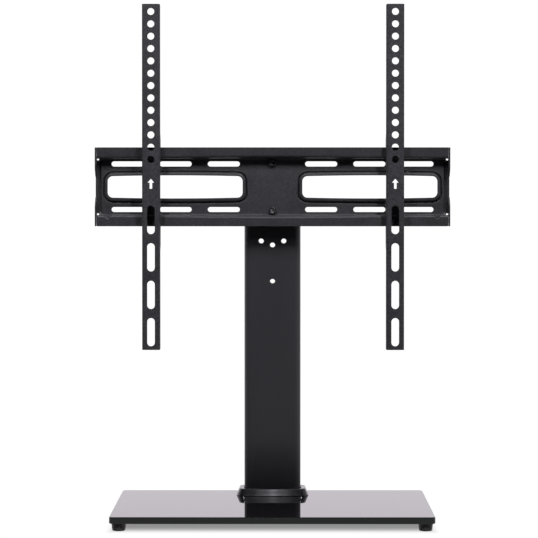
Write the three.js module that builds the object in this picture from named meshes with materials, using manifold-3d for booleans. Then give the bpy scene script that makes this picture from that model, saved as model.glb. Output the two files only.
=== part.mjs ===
// Table-top television stand: a glass base on rubber feet, a steel column, a pressed mount plate
// bolted to the column's front, and two slotted arms that hook over the plate's lips and slide along it.
// Millimetres, +Z up, +X to the right, and -Y towards the television. The origin is on the floor,
// under the middle of the glass base.

import * as THREE from "three";
import { mergeVertices } from "three/addons/utils/BufferGeometryUtils.js";
import Module from "manifold-3d";

// ---------------------------------------------------------------- driving dimensions

// glass base
const GLASS_WIDTH = 380;
const GLASS_DEPTH = 240;
const GLASS_THICKNESS = 8;
const GLASS_CORNER_R = 5.5;
const GLASS_ARRIS = 0.8; // ground edge all round, top and bottom
const GLASS_HOLE_D = 9;

// feet
const FOOT_HEIGHT = 9;
const FOOT_TOP_D = 17;
const FOOT_BOTTOM_D = 15.4;
const FOOT_X = 179;
const FOOT_Y = 108.7;

// column
const COLUMN_WIDTH = 70;
const COLUMN_DEPTH = 30;
const COLUMN_WALL = 2;
const COLUMN_CORNER_R = 7;
const COLUMN_Y = 83; // middle of the tube
const COLUMN_TOP = 445;
const COLUMN_HOLE_D = 8;
const SPARE_PAIR = { x: 14.1, z: 334.3 };
const SPARE_UPPER_Z = 329.3;
const SPARE_LOWER_Z = 284.0;
const CAP_LIP = 2.2;
const CAP_PLUG = 12;

// foot of the column
const GASKET = 1;
const FOOT_PLATE = { width: 78, depth: 36, thickness: 4 };
const SPREADER = { width: 92, depth: 52, thickness: 2 };
const BASE_BOLT_D = 6;
const BASE_BOLT_X = 24;
const BASE_BOLT_Y = 8;
const BASE_HEAD = { d: 10, height: 2.6 };
const BASE_WASHER = { d: 11.5, thickness: 1 };

// trim collar
const COLLAR_HEIGHT = 8.8;
const COLLAR_BOTTOM = { width: 89, depth: 44 };
const COLLAR_TOP = { width: 81.5, depth: 38 };
const COLLAR_BOTTOM_R = 10;

// mount plate
const PLATE_WIDTH = 440;
const PLATE_HEIGHT = 97.7;
const PLATE_Z = 401.85; // middle of the plate
const SHEET = 2;
const LIP_FRONT_Y = 51;
const WEB_FRONT_Y = 62;
const WEB_HALF = 34.9; // from the plate's middle to the inner corner of web and flange
const LIP_HALF = 36.3; // from the plate's middle to the inner corner of flange and lip
const LIP_BEND_R = 5; // outer radius of the bend between flange and lip
const WEB_BEND_R = 3.2; // outer radius of the bend between web and flange
const SLOT = { length: 40, width: 6.6, row: 28.4, pitch: 60 };
const WINDOW = { width: 167.5, half: 13.3, bow: 0.95, r: 6.5, x: 120.8 };
const RIM = { size: 5.4, rise: 2.8 };
const END_CUT = { depth: 10.7, half: 12.5, out: 23 }; // the end flange's front edge is cut back in its middle
const RELIEF = { d: 3.3, x: 216.6, half: 34.4 };
const STOP_DIMPLE_X = 204;
const PLATE_BOLT_HALF = 29.9; // from the plate's middle to each screw
const PLATE_BOLT_D = 6;
const PLATE_HEAD = { d: 9.4, height: 3.4 };
const PLATE_SPACER_D = 16; // the spacers keep the plate clear of the column's paint
const REAR_WASHER = { d: 14, thickness: 1.4 };
const NUT = { flats: 10, height: 5 };

// arms
const ARM_TOP = 626.8;
const ARM_BOTTOM = 200.8;
const ARM_WIDTH = 22;
const ARM_FRONT_Y = 36.5;
const ARM_DEPTH_Y = 49.5; // back edge of the side flanges, away from the plate
const ARM_X = { left: -149.6, right: 151.2 }; // arms near the 300 mm spacing, where they hang at rest
const ARM_END_R = 1.5;
const HOLE = { d: 9, first: 9.1, pitch: 15.19, count: 13 };
const ARM_SLOT = { width: 9.4, length: 34.8, z: [361.0, 315.0, 268.7, 222.8] };
const ARROW = { bottom: 399.4, neck: 406.9, top: 411.7, head: 8.2, shaft: 3.2 };
const HOOK = { gap: 0.6, finger: 7.2, back: 58.5, rise: 10 };
const LOWER = { floor: 345, tip: 356, front: 54.2, back: 58, under: 330 };
const LOCK = { d: 4, offset: 6.9, y: 52, length: 21, tip: 352.6 };
const LOCK_TAB = { thickness: 2.5, z: 335 };

// ---------------------------------------------------------------- helpers

const wasm = await Module();
wasm.setup();

// A closed three.js geometry as a solid that can be cut and joined.
function solid(geometry) {
  const g = geometry.index ? geometry.toNonIndexed() : geometry.clone();
  g.deleteAttribute("normal");
  g.deleteAttribute("uv");
  const merged = mergeVertices(g, 1e-4);
  return new wasm.Manifold(
    new wasm.Mesh({
      numProp: 3,
      vertProperties: new Float32Array(merged.attributes.position.array),
      triVerts: new Uint32Array(merged.index.array),
    }),
  );
}

function geometryOf(made) {
  const m = made.getMesh();
  const n = m.numProp;
  const v = new Float32Array(m.numVert * 3);
  for (let i = 0; i < m.numVert; i++) v.set(m.vertProperties.subarray(i * n, i * n + 3), i * 3);
  const g = new THREE.BufferGeometry();
  g.setAttribute("position", new THREE.BufferAttribute(v, 3));
  g.setIndex(new THREE.BufferAttribute(new Uint32Array(m.triVerts), 1));
  g.computeVertexNormals();
  return g;
}

const options = (depth, curveSegments) => ({ depth, bevelEnabled: false, curveSegments, steps: 1 });

// An outline in X and Y, extruded from z0 up to z1.
function alongZ(shape, z0, z1, curveSegments = 4) {
  return new THREE.ExtrudeGeometry(shape, options(z1 - z0, curveSegments)).translate(0, 0, z0);
}

// An outline in X and Z, extruded from y0 back to y1.
function alongY(shape, y0, y1, curveSegments = 4) {
  return new THREE.ExtrudeGeometry(shape, options(y1 - y0, curveSegments))
    .rotateX(Math.PI / 2)
    .translate(0, y1, 0);
}

// An outline in Y and Z, extruded from x0 to x1.
const TO_X = new THREE.Matrix4().makeBasis(
  new THREE.Vector3(0, 1, 0),
  new THREE.Vector3(0, 0, 1),
  new THREE.Vector3(1, 0, 0),
);
function alongX(shape, x0, x1, curveSegments = 4) {
  return new THREE.ExtrudeGeometry(shape, options(x1 - x0, curveSegments))
    .applyMatrix4(TO_X)
    .translate(x0, 0, 0);
}

function box(x0, x1, y0, y1, z0, z1) {
  return new THREE.BoxGeometry(x1 - x0, y1 - y0, z1 - z0).translate(
    (x0 + x1) / 2,
    (y0 + y1) / 2,
    (z0 + z1) / 2,
  );
}

function roundedRect(width, height, r, cx = 0, cy = 0) {
  const x = cx - width / 2;
  const y = cy - height / 2;
  const s = new THREE.Shape();
  s.moveTo(x + r, y);
  s.lineTo(x + width - r, y);
  s.absarc(x + width - r, y + r, r, -Math.PI / 2, 0, false);
  s.lineTo(x + width, y + height - r);
  s.absarc(x + width - r, y + height - r, r, 0, Math.PI / 2, false);
  s.lineTo(x + r, y + height);
  s.absarc(x + r, y + height - r, r, Math.PI / 2, Math.PI, false);
  s.lineTo(x, y + r);
  s.absarc(x + r, y + r, r, Math.PI, (3 * Math.PI) / 2, false);
  return s;
}

const stadium = (length, width, cx, cy) => roundedRect(length, width, width / 2 - 0.001, cx, cy);

function outline(points) {
  const s = new THREE.Shape();
  points.forEach(([x, y], i) => (i ? s.lineTo(x, y) : s.moveTo(x, y)));
  s.closePath();
  return s;
}

// A round bar or hole along Z, or along Y with its middle at height z.
function rodZ(d, z0, z1, x = 0, y = 0, segments = 16) {
  return new THREE.CylinderGeometry(d / 2, d / 2, z1 - z0, segments)
    .rotateX(Math.PI / 2)
    .translate(x, y, (z0 + z1) / 2);
}
function rodY(d, y0, y1, x = 0, z = 0, segments = 16) {
  return new THREE.CylinderGeometry(d / 2, d / 2, y1 - y0, segments).translate(
    x,
    (y0 + y1) / 2,
    z,
  );
}

// A turned piece on the Z axis from its half profile [radius, z]; the profile runs upwards outside.
function turned(profile, segments = 24) {
  return new THREE.LatheGeometry(
    profile.map(([r, z]) => new THREE.Vector2(r, z)),
    segments,
  ).rotateX(Math.PI / 2);
}

const join = (...parts) => parts.reduce((a, b) => a.add(b));
const cut = (from, ...tools) => tools.reduce((a, b) => a.subtract(b), from);

// ---------------------------------------------------------------- materials

const paintedSteel = new THREE.MeshStandardMaterial({ color: 0x1b1b1d, roughness: 0.55, metalness: 0.1 });
const columnPaint = new THREE.MeshStandardMaterial({ color: 0x151518, roughness: 0.42, metalness: 0.1 });
const blackGlass = new THREE.MeshStandardMaterial({ color: 0x08080a, roughness: 0.04, metalness: 0 });
const rubber = new THREE.MeshStandardMaterial({ color: 0x141414, roughness: 0.85, metalness: 0 });
const gasketRubber = new THREE.MeshStandardMaterial({ color: 0x1c1c1c, roughness: 0.9, metalness: 0 });
const trimPlastic = new THREE.MeshStandardMaterial({ color: 0x17171a, roughness: 0.35, metalness: 0 });
const capPlastic = new THREE.MeshStandardMaterial({ color: 0x1a1a1b, roughness: 0.6, metalness: 0 });
const blackenedSteel = new THREE.MeshStandardMaterial({ color: 0x222224, roughness: 0.4, metalness: 0.8 });
const zincSteel = new THREE.MeshStandardMaterial({ color: 0x9a9a9c, roughness: 0.35, metalness: 0.9 });

const stand = new THREE.Group();

function add(name, geometry, material, x = 0, y = 0, z = 0, parent = stand) {
  const mesh = new THREE.Mesh(geometry, material);
  mesh.name = name;
  mesh.position.set(x, y, z);
  parent.add(mesh);
  return mesh;
}

// ---------------------------------------------------------------- glass base and feet

const GLASS_BOTTOM = FOOT_HEIGHT;
const GLASS_TOP = FOOT_HEIGHT + GLASS_THICKNESS;
const boltSpots = [
  [-BASE_BOLT_X, COLUMN_Y - BASE_BOLT_Y],
  [BASE_BOLT_X, COLUMN_Y - BASE_BOLT_Y],
  [-BASE_BOLT_X, COLUMN_Y + BASE_BOLT_Y],
  [BASE_BOLT_X, COLUMN_Y + BASE_BOLT_Y],
];

const pane = new THREE.ExtrudeGeometry(
  roundedRect(
    GLASS_WIDTH - 2 * GLASS_ARRIS,
    GLASS_DEPTH - 2 * GLASS_ARRIS,
    GLASS_CORNER_R - GLASS_ARRIS,
  ),
  {
    depth: GLASS_THICKNESS - 2 * GLASS_ARRIS,
    bevelEnabled: true,
    bevelThickness: GLASS_ARRIS,
    bevelSize: GLASS_ARRIS,
    bevelSegments: 1,
    curveSegments: 4,
  },
).translate(0, 0, GLASS_BOTTOM + GLASS_ARRIS);
add(
  "glass_base",
  geometryOf(
    cut(
      solid(pane),
      ...boltSpots.map(([x, y]) => solid(rodZ(GLASS_HOLE_D, GLASS_BOTTOM - 1, GLASS_TOP + 1, x, y))),
    ),
  ),
  blackGlass,
);

// A moulded foot: slightly tapered, with a rounded lower rim.
const footShape = turned([
  [0, 0],
  [FOOT_BOTTOM_D / 2 - 1.2, 0],
  [FOOT_BOTTOM_D / 2 - 0.4, 0.4],
  [FOOT_BOTTOM_D / 2, 1.2],
  [FOOT_TOP_D / 2, FOOT_HEIGHT - 1.2],
  [FOOT_TOP_D / 2, FOOT_HEIGHT],
  [0, FOOT_HEIGHT],
]);
add("foot_front_left", footShape, rubber, -FOOT_X, -FOOT_Y);
add("foot_front_right", footShape, rubber, FOOT_X, -FOOT_Y);
add("foot_rear_left", footShape, rubber, -FOOT_X, FOOT_Y);
add("foot_rear_right", footShape, rubber, FOOT_X, FOOT_Y);

// ---------------------------------------------------------------- foot of the column

const FOOT_PLATE_BOTTOM = GLASS_TOP + GASKET;
const COLUMN_BOTTOM = FOOT_PLATE_BOTTOM + FOOT_PLATE.thickness;
const SPREADER_TOP = GLASS_BOTTOM - GASKET;
const SPREADER_BOTTOM = SPREADER_TOP - SPREADER.thickness;
const WASHER_BOTTOM = SPREADER_BOTTOM - BASE_WASHER.thickness;
const BASE_HEAD_BOTTOM = WASHER_BOTTOM - BASE_HEAD.height;

function drilledPlate({ width, depth }, thickness, z, holeD) {
  return geometryOf(
    cut(
      solid(alongZ(roundedRect(width, depth, 4, 0, COLUMN_Y), z, z + thickness, 3)),
      ...boltSpots.map(([x, y]) => solid(rodZ(holeD, z - 1, z + thickness + 1, x, y, 12))),
    ),
  );
}
add("foot_gasket", drilledPlate(FOOT_PLATE, GASKET, GLASS_TOP, 8), gasketRubber);
add(
  "column_foot_plate",
  drilledPlate(FOOT_PLATE, FOOT_PLATE.thickness, FOOT_PLATE_BOTTOM, BASE_BOLT_D + 0.3),
  paintedSteel,
);
add("under_gasket", drilledPlate(SPREADER, GASKET, SPREADER_TOP, 8), gasketRubber);
add(
  "spreader_plate",
  drilledPlate(SPREADER, SPREADER.thickness, SPREADER_BOTTOM, BASE_BOLT_D + 1),
  paintedSteel,
);

// Base screw: low head with a hexagon socket that opens downwards.
const baseScrew = cut(
  solid(
    turned(
      [
        [0, 0],
        [BASE_HEAD.d / 2 - 0.5, 0],
        [BASE_HEAD.d / 2, 0.6],
        [BASE_HEAD.d / 2, BASE_HEAD.height],
        [BASE_BOLT_D / 2, BASE_HEAD.height],
        [BASE_BOLT_D / 2, COLUMN_BOTTOM + 1.2 - BASE_HEAD_BOTTOM],
        [BASE_BOLT_D / 2 - 0.6, COLUMN_BOTTOM + 1.8 - BASE_HEAD_BOTTOM],
        [0, COLUMN_BOTTOM + 1.8 - BASE_HEAD_BOTTOM],
      ],
      16,
    ),
  ),
  solid(new THREE.CylinderGeometry(2.3, 2.3, 4, 6).rotateX(Math.PI / 2).translate(0, 0, -0.2)),
);
const washerRing = (d, hole, thickness, segments = 20) =>
  geometryOf(
    cut(solid(rodZ(d, 0, thickness, 0, 0, segments)), solid(rodZ(hole, -1, thickness + 1, 0, 0, 16))),
  );
boltSpots.forEach(([x, y], i) => {
  add("base_screw_" + (i + 1), geometryOf(baseScrew), zincSteel, x, y, BASE_HEAD_BOTTOM);
  add(
    "base_washer_" + (i + 1),
    washerRing(BASE_WASHER.d, BASE_BOLT_D + 0.5, BASE_WASHER.thickness),
    zincSteel,
    x,
    y,
    WASHER_BOTTOM,
  );
});

// ---------------------------------------------------------------- column

const PLATE_BOLTS = [PLATE_Z + PLATE_BOLT_HALF, PLATE_Z - PLATE_BOLT_HALF];
const COLUMN_FRONT = COLUMN_Y - COLUMN_DEPTH / 2;
const COLUMN_BACK = COLUMN_Y + COLUMN_DEPTH / 2;
const crossHoles = [
  ...PLATE_BOLTS.map((z) => [0, z]),
  [-SPARE_PAIR.x, SPARE_PAIR.z],
  [SPARE_PAIR.x, SPARE_PAIR.z],
  [0, SPARE_UPPER_Z],
  [0, SPARE_LOWER_Z],
];
const tubeOutline = roundedRect(COLUMN_WIDTH, COLUMN_DEPTH, COLUMN_CORNER_R, 0, COLUMN_Y);
tubeOutline.holes.push(
  roundedRect(
    COLUMN_WIDTH - 2 * COLUMN_WALL,
    COLUMN_DEPTH - 2 * COLUMN_WALL,
    COLUMN_CORNER_R - COLUMN_WALL,
    0,
    COLUMN_Y,
  ),
);
add(
  "column_tube",
  geometryOf(
    cut(
      solid(alongZ(tubeOutline, COLUMN_BOTTOM, COLUMN_TOP)),
      ...crossHoles.map(([x, z]) =>
        solid(rodY(COLUMN_HOLE_D, COLUMN_FRONT - 1, COLUMN_BACK + 1, x, z, 20)),
      ),
    ),
  ),
  columnPaint,
);

// Moulded cap: a lip that covers the tube's end, and a hollow plug that opens downwards.
const plugWidth = COLUMN_WIDTH - 2 * COLUMN_WALL - 0.4;
const plugDepth = COLUMN_DEPTH - 2 * COLUMN_WALL - 0.4;
add(
  "column_cap",
  geometryOf(
    cut(
      join(
        solid(
          alongZ(
            roundedRect(COLUMN_WIDTH - 0.4, COLUMN_DEPTH - 0.4, COLUMN_CORNER_R - 0.2, 0, COLUMN_Y),
            COLUMN_TOP,
            COLUMN_TOP + CAP_LIP,
          ),
        ),
        solid(
          alongZ(
            roundedRect(plugWidth, plugDepth, COLUMN_CORNER_R - COLUMN_WALL - 0.2, 0, COLUMN_Y),
            COLUMN_TOP - CAP_PLUG + 4,
            COLUMN_TOP + 1,
          ),
        ),
      ),
      solid(
        alongZ(
          roundedRect(plugWidth - 4, plugDepth - 4, 3, 0, COLUMN_Y),
          COLUMN_TOP - CAP_PLUG,
          COLUMN_TOP,
        ),
      ),
    ),
  ),
  capPlastic,
);

// Trim collar: a sloping shell around the foot plate, with the column passing through its top.
const collarSlope = (COLLAR_BOTTOM.width - COLLAR_TOP.width) / 2;
const collarRise = (COLLAR_BOTTOM.depth - COLLAR_TOP.depth) / 2;
const collarOuter = new THREE.ExtrudeGeometry(
  roundedRect(COLLAR_TOP.width, COLLAR_TOP.depth, COLLAR_BOTTOM_R - collarSlope),
  {
    depth: 2,
    bevelEnabled: true,
    bevelThickness: COLLAR_HEIGHT - 1.6,
    bevelSize: collarSlope,
    bevelSegments: 1,
    curveSegments: 4,
  },
)
  .translate(0, 0, GLASS_TOP - 0.4)
  .scale(1, (COLLAR_TOP.depth + 2 * collarRise) / (COLLAR_TOP.depth + 2 * collarSlope), 1)
  .translate(0, COLUMN_Y, 0);
const collarKeep = box(-60, 60, COLUMN_Y - 40, COLUMN_Y + 40, GLASS_TOP, GLASS_TOP + COLLAR_HEIGHT);
add(
  "base_collar",
  geometryOf(
    cut(
      solid(collarOuter).intersect(solid(collarKeep)),
      solid(
        alongZ(
          roundedRect(FOOT_PLATE.width + 0.8, FOOT_PLATE.depth + 0.8, 4.4, 0, COLUMN_Y),
          GLASS_TOP - 1,
          COLUMN_BOTTOM + 0.4,
          3,
        ),
      ),
      solid(
        alongZ(
          roundedRect(COLUMN_WIDTH + 0.6, COLUMN_DEPTH + 0.6, COLUMN_CORNER_R + 0.3, 0, COLUMN_Y),
          GLASS_TOP,
          GLASS_TOP + 20,
        ),
      ),
    ),
  ),
  trimPlastic,
);

// ---------------------------------------------------------------- mount plate

const PLATE_TOP = PLATE_Z + PLATE_HEIGHT / 2;
const PLATE_BOTTOM = PLATE_Z - PLATE_HEIGHT / 2;
const WEB_BACK_Y = WEB_FRONT_Y + SHEET;
const LIP_BACK_Y = LIP_FRONT_Y + SHEET;

// A bend: points from the start to the end of an arc that rounds corner (y, z) between two directions.
function bend([y, z], from, to, r, steps = 3) {
  const a = new THREE.Vector2(from[0] - y, from[1] - z).normalize();
  const b = new THREE.Vector2(to[0] - y, to[1] - z).normalize();
  const half = Math.acos(THREE.MathUtils.clamp(a.dot(b), -1, 1)) / 2;
  const reach = r / Math.tan(half);
  const mid = a.clone().add(b).normalize().multiplyScalar(r / Math.sin(half));
  const c = new THREE.Vector2(y + mid.x, z + mid.y);
  const p0 = new THREE.Vector2(y, z).addScaledVector(a, reach);
  const p1 = new THREE.Vector2(y, z).addScaledVector(b, reach);
  const a0 = Math.atan2(p0.y - c.y, p0.x - c.x);
  let a1 = Math.atan2(p1.y - c.y, p1.x - c.x);
  while (a1 - a0 > Math.PI) a1 -= 2 * Math.PI;
  while (a1 - a0 < -Math.PI) a1 += 2 * Math.PI;
  const out = [];
  for (let i = 0; i <= steps; i++) {
    const t = a0 + ((a1 - a0) * i) / steps;
    out.push([c.x + r * Math.cos(t), c.y + r * Math.sin(t)]);
  }
  return out;
}

// Upper half of the pressed section, as offsets from the plate's middle. Front side first.
const h = PLATE_HEIGHT / 2;
const frontWeb = [WEB_FRONT_Y, WEB_HALF];
const frontLip = [LIP_FRONT_Y, LIP_HALF];
const backWeb = [WEB_BACK_Y, WEB_HALF + SHEET];
const backLip = [LIP_BACK_Y, LIP_HALF + SHEET];
const halfFront = [
  ...bend(frontWeb, [WEB_FRONT_Y, 0], frontLip, 0.2, 1),
  ...bend(frontLip, frontWeb, [LIP_FRONT_Y, h], LIP_BEND_R, 4),
  [LIP_FRONT_Y, h],
];
const halfBack = [
  [LIP_BACK_Y, h],
  ...bend(backLip, [LIP_BACK_Y, h], backWeb, LIP_BEND_R - SHEET, 3),
  ...bend(backWeb, backLip, [WEB_BACK_Y, 0], WEB_BEND_R, 3),
];
const flip = (points) => points.map(([y, z]) => [y, -z]).reverse();
const section = [...halfFront, ...halfBack, ...flip(halfBack), ...flip(halfFront)].map(([y, z]) => [
  y,
  z + PLATE_Z,
]);

// A window's outline: straight ends, upper and lower edges that bow out a little.
function windowShape(grow = 0, cx = 0) {
  const w = WINDOW.width / 2 + grow;
  const e = WINDOW.half + grow;
  const r = WINDOW.r + grow;
  const s = new THREE.Shape();
  s.moveTo(cx - w + r, PLATE_Z - e);
  s.quadraticCurveTo(cx, PLATE_Z - e - 2 * WINDOW.bow, cx + w - r, PLATE_Z - e);
  s.absarc(cx + w - r, PLATE_Z - e + r, r, -Math.PI / 2, 0, false);
  s.lineTo(cx + w, PLATE_Z + e - r);
  s.absarc(cx + w - r, PLATE_Z + e - r, r, 0, Math.PI / 2, false);
  s.quadraticCurveTo(cx, PLATE_Z + e + 2 * WINDOW.bow, cx - w + r, PLATE_Z + e);
  s.absarc(cx - w + r, PLATE_Z + e - r, r, Math.PI / 2, Math.PI, false);
  s.lineTo(cx - w, PLATE_Z - e + r);
  s.absarc(cx - w + r, PLATE_Z - e + r, r, Math.PI, (3 * Math.PI) / 2, false);
  return s;
}

// The dished rim: a frustum that rises forwards from the web to the window's edge.
function rimFrustum(cx, baseY) {
  const frustum = new THREE.ExtrudeGeometry(windowShape(0, cx), {
    depth: 6,
    bevelEnabled: true,
    bevelThickness: RIM.rise,
    bevelSize: RIM.size,
    bevelSegments: 1,
    curveSegments: 4,
  })
    .rotateX(Math.PI / 2)
    .translate(0, baseY + 6, 0);
  return solid(frustum).intersect(
    solid(box(cx - 110, cx + 110, baseY - RIM.rise - 1, baseY, PLATE_Z - 30, PLATE_Z + 30)),
  );
}

let plate = solid(alongX(outline(section), -PLATE_WIDTH / 2, PLATE_WIDTH / 2));

// End flanges: the web's ends bent forwards, flush with the lips at the corners and cut back between.
const endOutline = outline([
  [LIP_FRONT_Y, PLATE_BOTTOM],
  [LIP_FRONT_Y, PLATE_Z - END_CUT.out],
  [LIP_FRONT_Y + END_CUT.depth, PLATE_Z - END_CUT.half],
  [LIP_FRONT_Y + END_CUT.depth, PLATE_Z + END_CUT.half],
  [LIP_FRONT_Y, PLATE_Z + END_CUT.out],
  [LIP_FRONT_Y, PLATE_TOP],
  [LIP_BACK_Y, PLATE_TOP],
  [LIP_BACK_Y + 2, PLATE_TOP - 4],
  [WEB_BACK_Y, PLATE_Z + WEB_HALF],
  [WEB_BACK_Y, PLATE_Z - WEB_HALF],
  [LIP_BACK_Y + 2, PLATE_BOTTOM + 4],
  [LIP_BACK_Y, PLATE_BOTTOM],
]);
for (const side of [-1, 1]) {
  const x0 = side < 0 ? -PLATE_WIDTH / 2 : PLATE_WIDTH / 2 - SHEET;
  plate = plate.add(solid(alongX(endOutline, x0, x0 + SHEET)));
}

for (const cx of [-WINDOW.x, WINDOW.x]) {
  plate = plate
    .add(rimFrustum(cx, WEB_FRONT_Y + 0.01))
    .subtract(rimFrustum(cx, WEB_BACK_Y + 0.01))
    .subtract(solid(alongY(windowShape(0, cx), WEB_FRONT_Y - 10, WEB_BACK_Y + 6)));
}
for (const side of [-1, 1])
  for (const row of [-1, 1])
    for (const k of [1, 2, 3])
      plate = plate.subtract(
        solid(
          alongY(
            stadium(SLOT.length, SLOT.width, side * k * SLOT.pitch, PLATE_Z + row * SLOT.row),
            WEB_FRONT_Y - 1,
            WEB_BACK_Y + 1,
            3,
          ),
        ),
      );
for (const sx of [-1, 1])
  for (const sz of [-1, 1])
    plate = plate.subtract(
      solid(
        rodY(RELIEF.d, WEB_FRONT_Y - 1, WEB_BACK_Y + 1, sx * RELIEF.x, PLATE_Z + sz * RELIEF.half, 10),
      ),
    );
for (const z of PLATE_BOLTS)
  plate = plate.subtract(solid(rodY(PLATE_BOLT_D + 0.6, WEB_FRONT_Y - 1, WEB_BACK_Y + 1, 0, z)));
// Stop dimples: small nicks in the bottom lip's bend.
for (const side of [-1, 1])
  plate = plate.subtract(
    solid(
      alongY(
        outline([
          [side * STOP_DIMPLE_X - 2.2, PLATE_Z - LIP_HALF + 0.4],
          [side * STOP_DIMPLE_X, PLATE_Z - LIP_HALF - 1.2],
          [side * STOP_DIMPLE_X + 2.2, PLATE_Z - LIP_HALF + 0.4],
        ]),
        LIP_FRONT_Y - 1,
        LIP_FRONT_Y + 3.2,
      ),
    ),
  );
add("mount_plate", geometryOf(plate), paintedSteel);

// Plate screws: low round heads in front, spacers between plate and column, long shanks through the
// column, washers and nuts behind.
const headFront = WEB_FRONT_Y - PLATE_HEAD.height;
const shankEnd = COLUMN_BACK + REAR_WASHER.thickness + NUT.height + 2.4;
const plateScrew = cut(
  solid(
    turned(
      [
        [0, 0],
        [PLATE_HEAD.d / 2 - 1.2, 0],
        [PLATE_HEAD.d / 2 - 0.3, 0.7],
        [PLATE_HEAD.d / 2, 1.6],
        [PLATE_HEAD.d / 2, PLATE_HEAD.height],
        [PLATE_BOLT_D / 2, PLATE_HEAD.height],
        [PLATE_BOLT_D / 2, shankEnd - headFront - 0.7],
        [PLATE_BOLT_D / 2 - 0.7, shankEnd - headFront],
        [0, shankEnd - headFront],
      ],
      20,
    ),
  ),
  solid(new THREE.CylinderGeometry(2.3, 2.3, 4, 6).rotateX(Math.PI / 2)),
);
const nutShape = geometryOf(
  cut(
    solid(
      new THREE.CylinderGeometry(NUT.flats / Math.sqrt(3), NUT.flats / Math.sqrt(3), NUT.height, 6)
        .rotateX(Math.PI / 2)
        .translate(0, 0, NUT.height / 2),
    ),
    solid(rodZ(PLATE_BOLT_D + 0.2, -1, NUT.height + 1)),
  ),
);
["upper", "lower"].forEach((which, i) => {
  const z = PLATE_BOLTS[i];
  const facing = new THREE.Group();
  facing.position.set(0, 0, z);
  facing.rotation.x = -Math.PI / 2; // local +Z runs to the back
  stand.add(facing);
  add("plate_screw_" + which, geometryOf(plateScrew), blackenedSteel, 0, 0, headFront - 0.02, facing);
  add(
    "plate_spacer_" + which,
    washerRing(PLATE_SPACER_D, PLATE_BOLT_D + 0.5, COLUMN_FRONT - WEB_BACK_Y - 0.04),
    capPlastic,
    0,
    0,
    WEB_BACK_Y + 0.02,
    facing,
  );
  add(
    "rear_washer_" + which,
    washerRing(REAR_WASHER.d, PLATE_BOLT_D + 0.5, REAR_WASHER.thickness),
    zincSteel,
    0,
    0,
    COLUMN_BACK + 0.02,
    facing,
  );
  add("rear_nut_" + which, nutShape, zincSteel, 0, 0, COLUMN_BACK + REAR_WASHER.thickness + 0.04, facing);
});

// ---------------------------------------------------------------- arms

// Side flange, in Y and Z: hooks over the top lip, and reaches under and behind the bottom lip.
const hookCeiling = PLATE_TOP + 0.3;
const besideLip = LIP_FRONT_Y - HOOK.gap;
const flangeFront = ARM_FRONT_Y + 0.5;
const flangeOutline = outline([
  [flangeFront, ARM_BOTTOM],
  [ARM_DEPTH_Y, ARM_BOTTOM],
  [ARM_DEPTH_Y, LOWER.under - 8],
  [LOWER.back, LOWER.under],
  [LOWER.back, LOWER.tip - 1],
  [LOWER.back - 1, LOWER.tip],
  [LOWER.front + 1, LOWER.tip],
  [LOWER.front, LOWER.tip - 1],
  [LOWER.front, LOWER.floor],
  [besideLip, LOWER.floor],
  [besideLip, hookCeiling],
  [LIP_BACK_Y + 0.8, hookCeiling],
  [LIP_BACK_Y + 0.8, PLATE_TOP - HOOK.finger + 1.5],
  [LIP_BACK_Y + 1.8, PLATE_TOP - HOOK.finger],
  [HOOK.back - 1, PLATE_TOP - HOOK.finger],
  [HOOK.back, PLATE_TOP - HOOK.finger + 1],
  [HOOK.back, hookCeiling + HOOK.rise],
  [ARM_DEPTH_Y, hookCeiling + HOOK.rise + 8],
  [ARM_DEPTH_Y, ARM_TOP],
  [flangeFront, ARM_TOP],
]);

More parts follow.
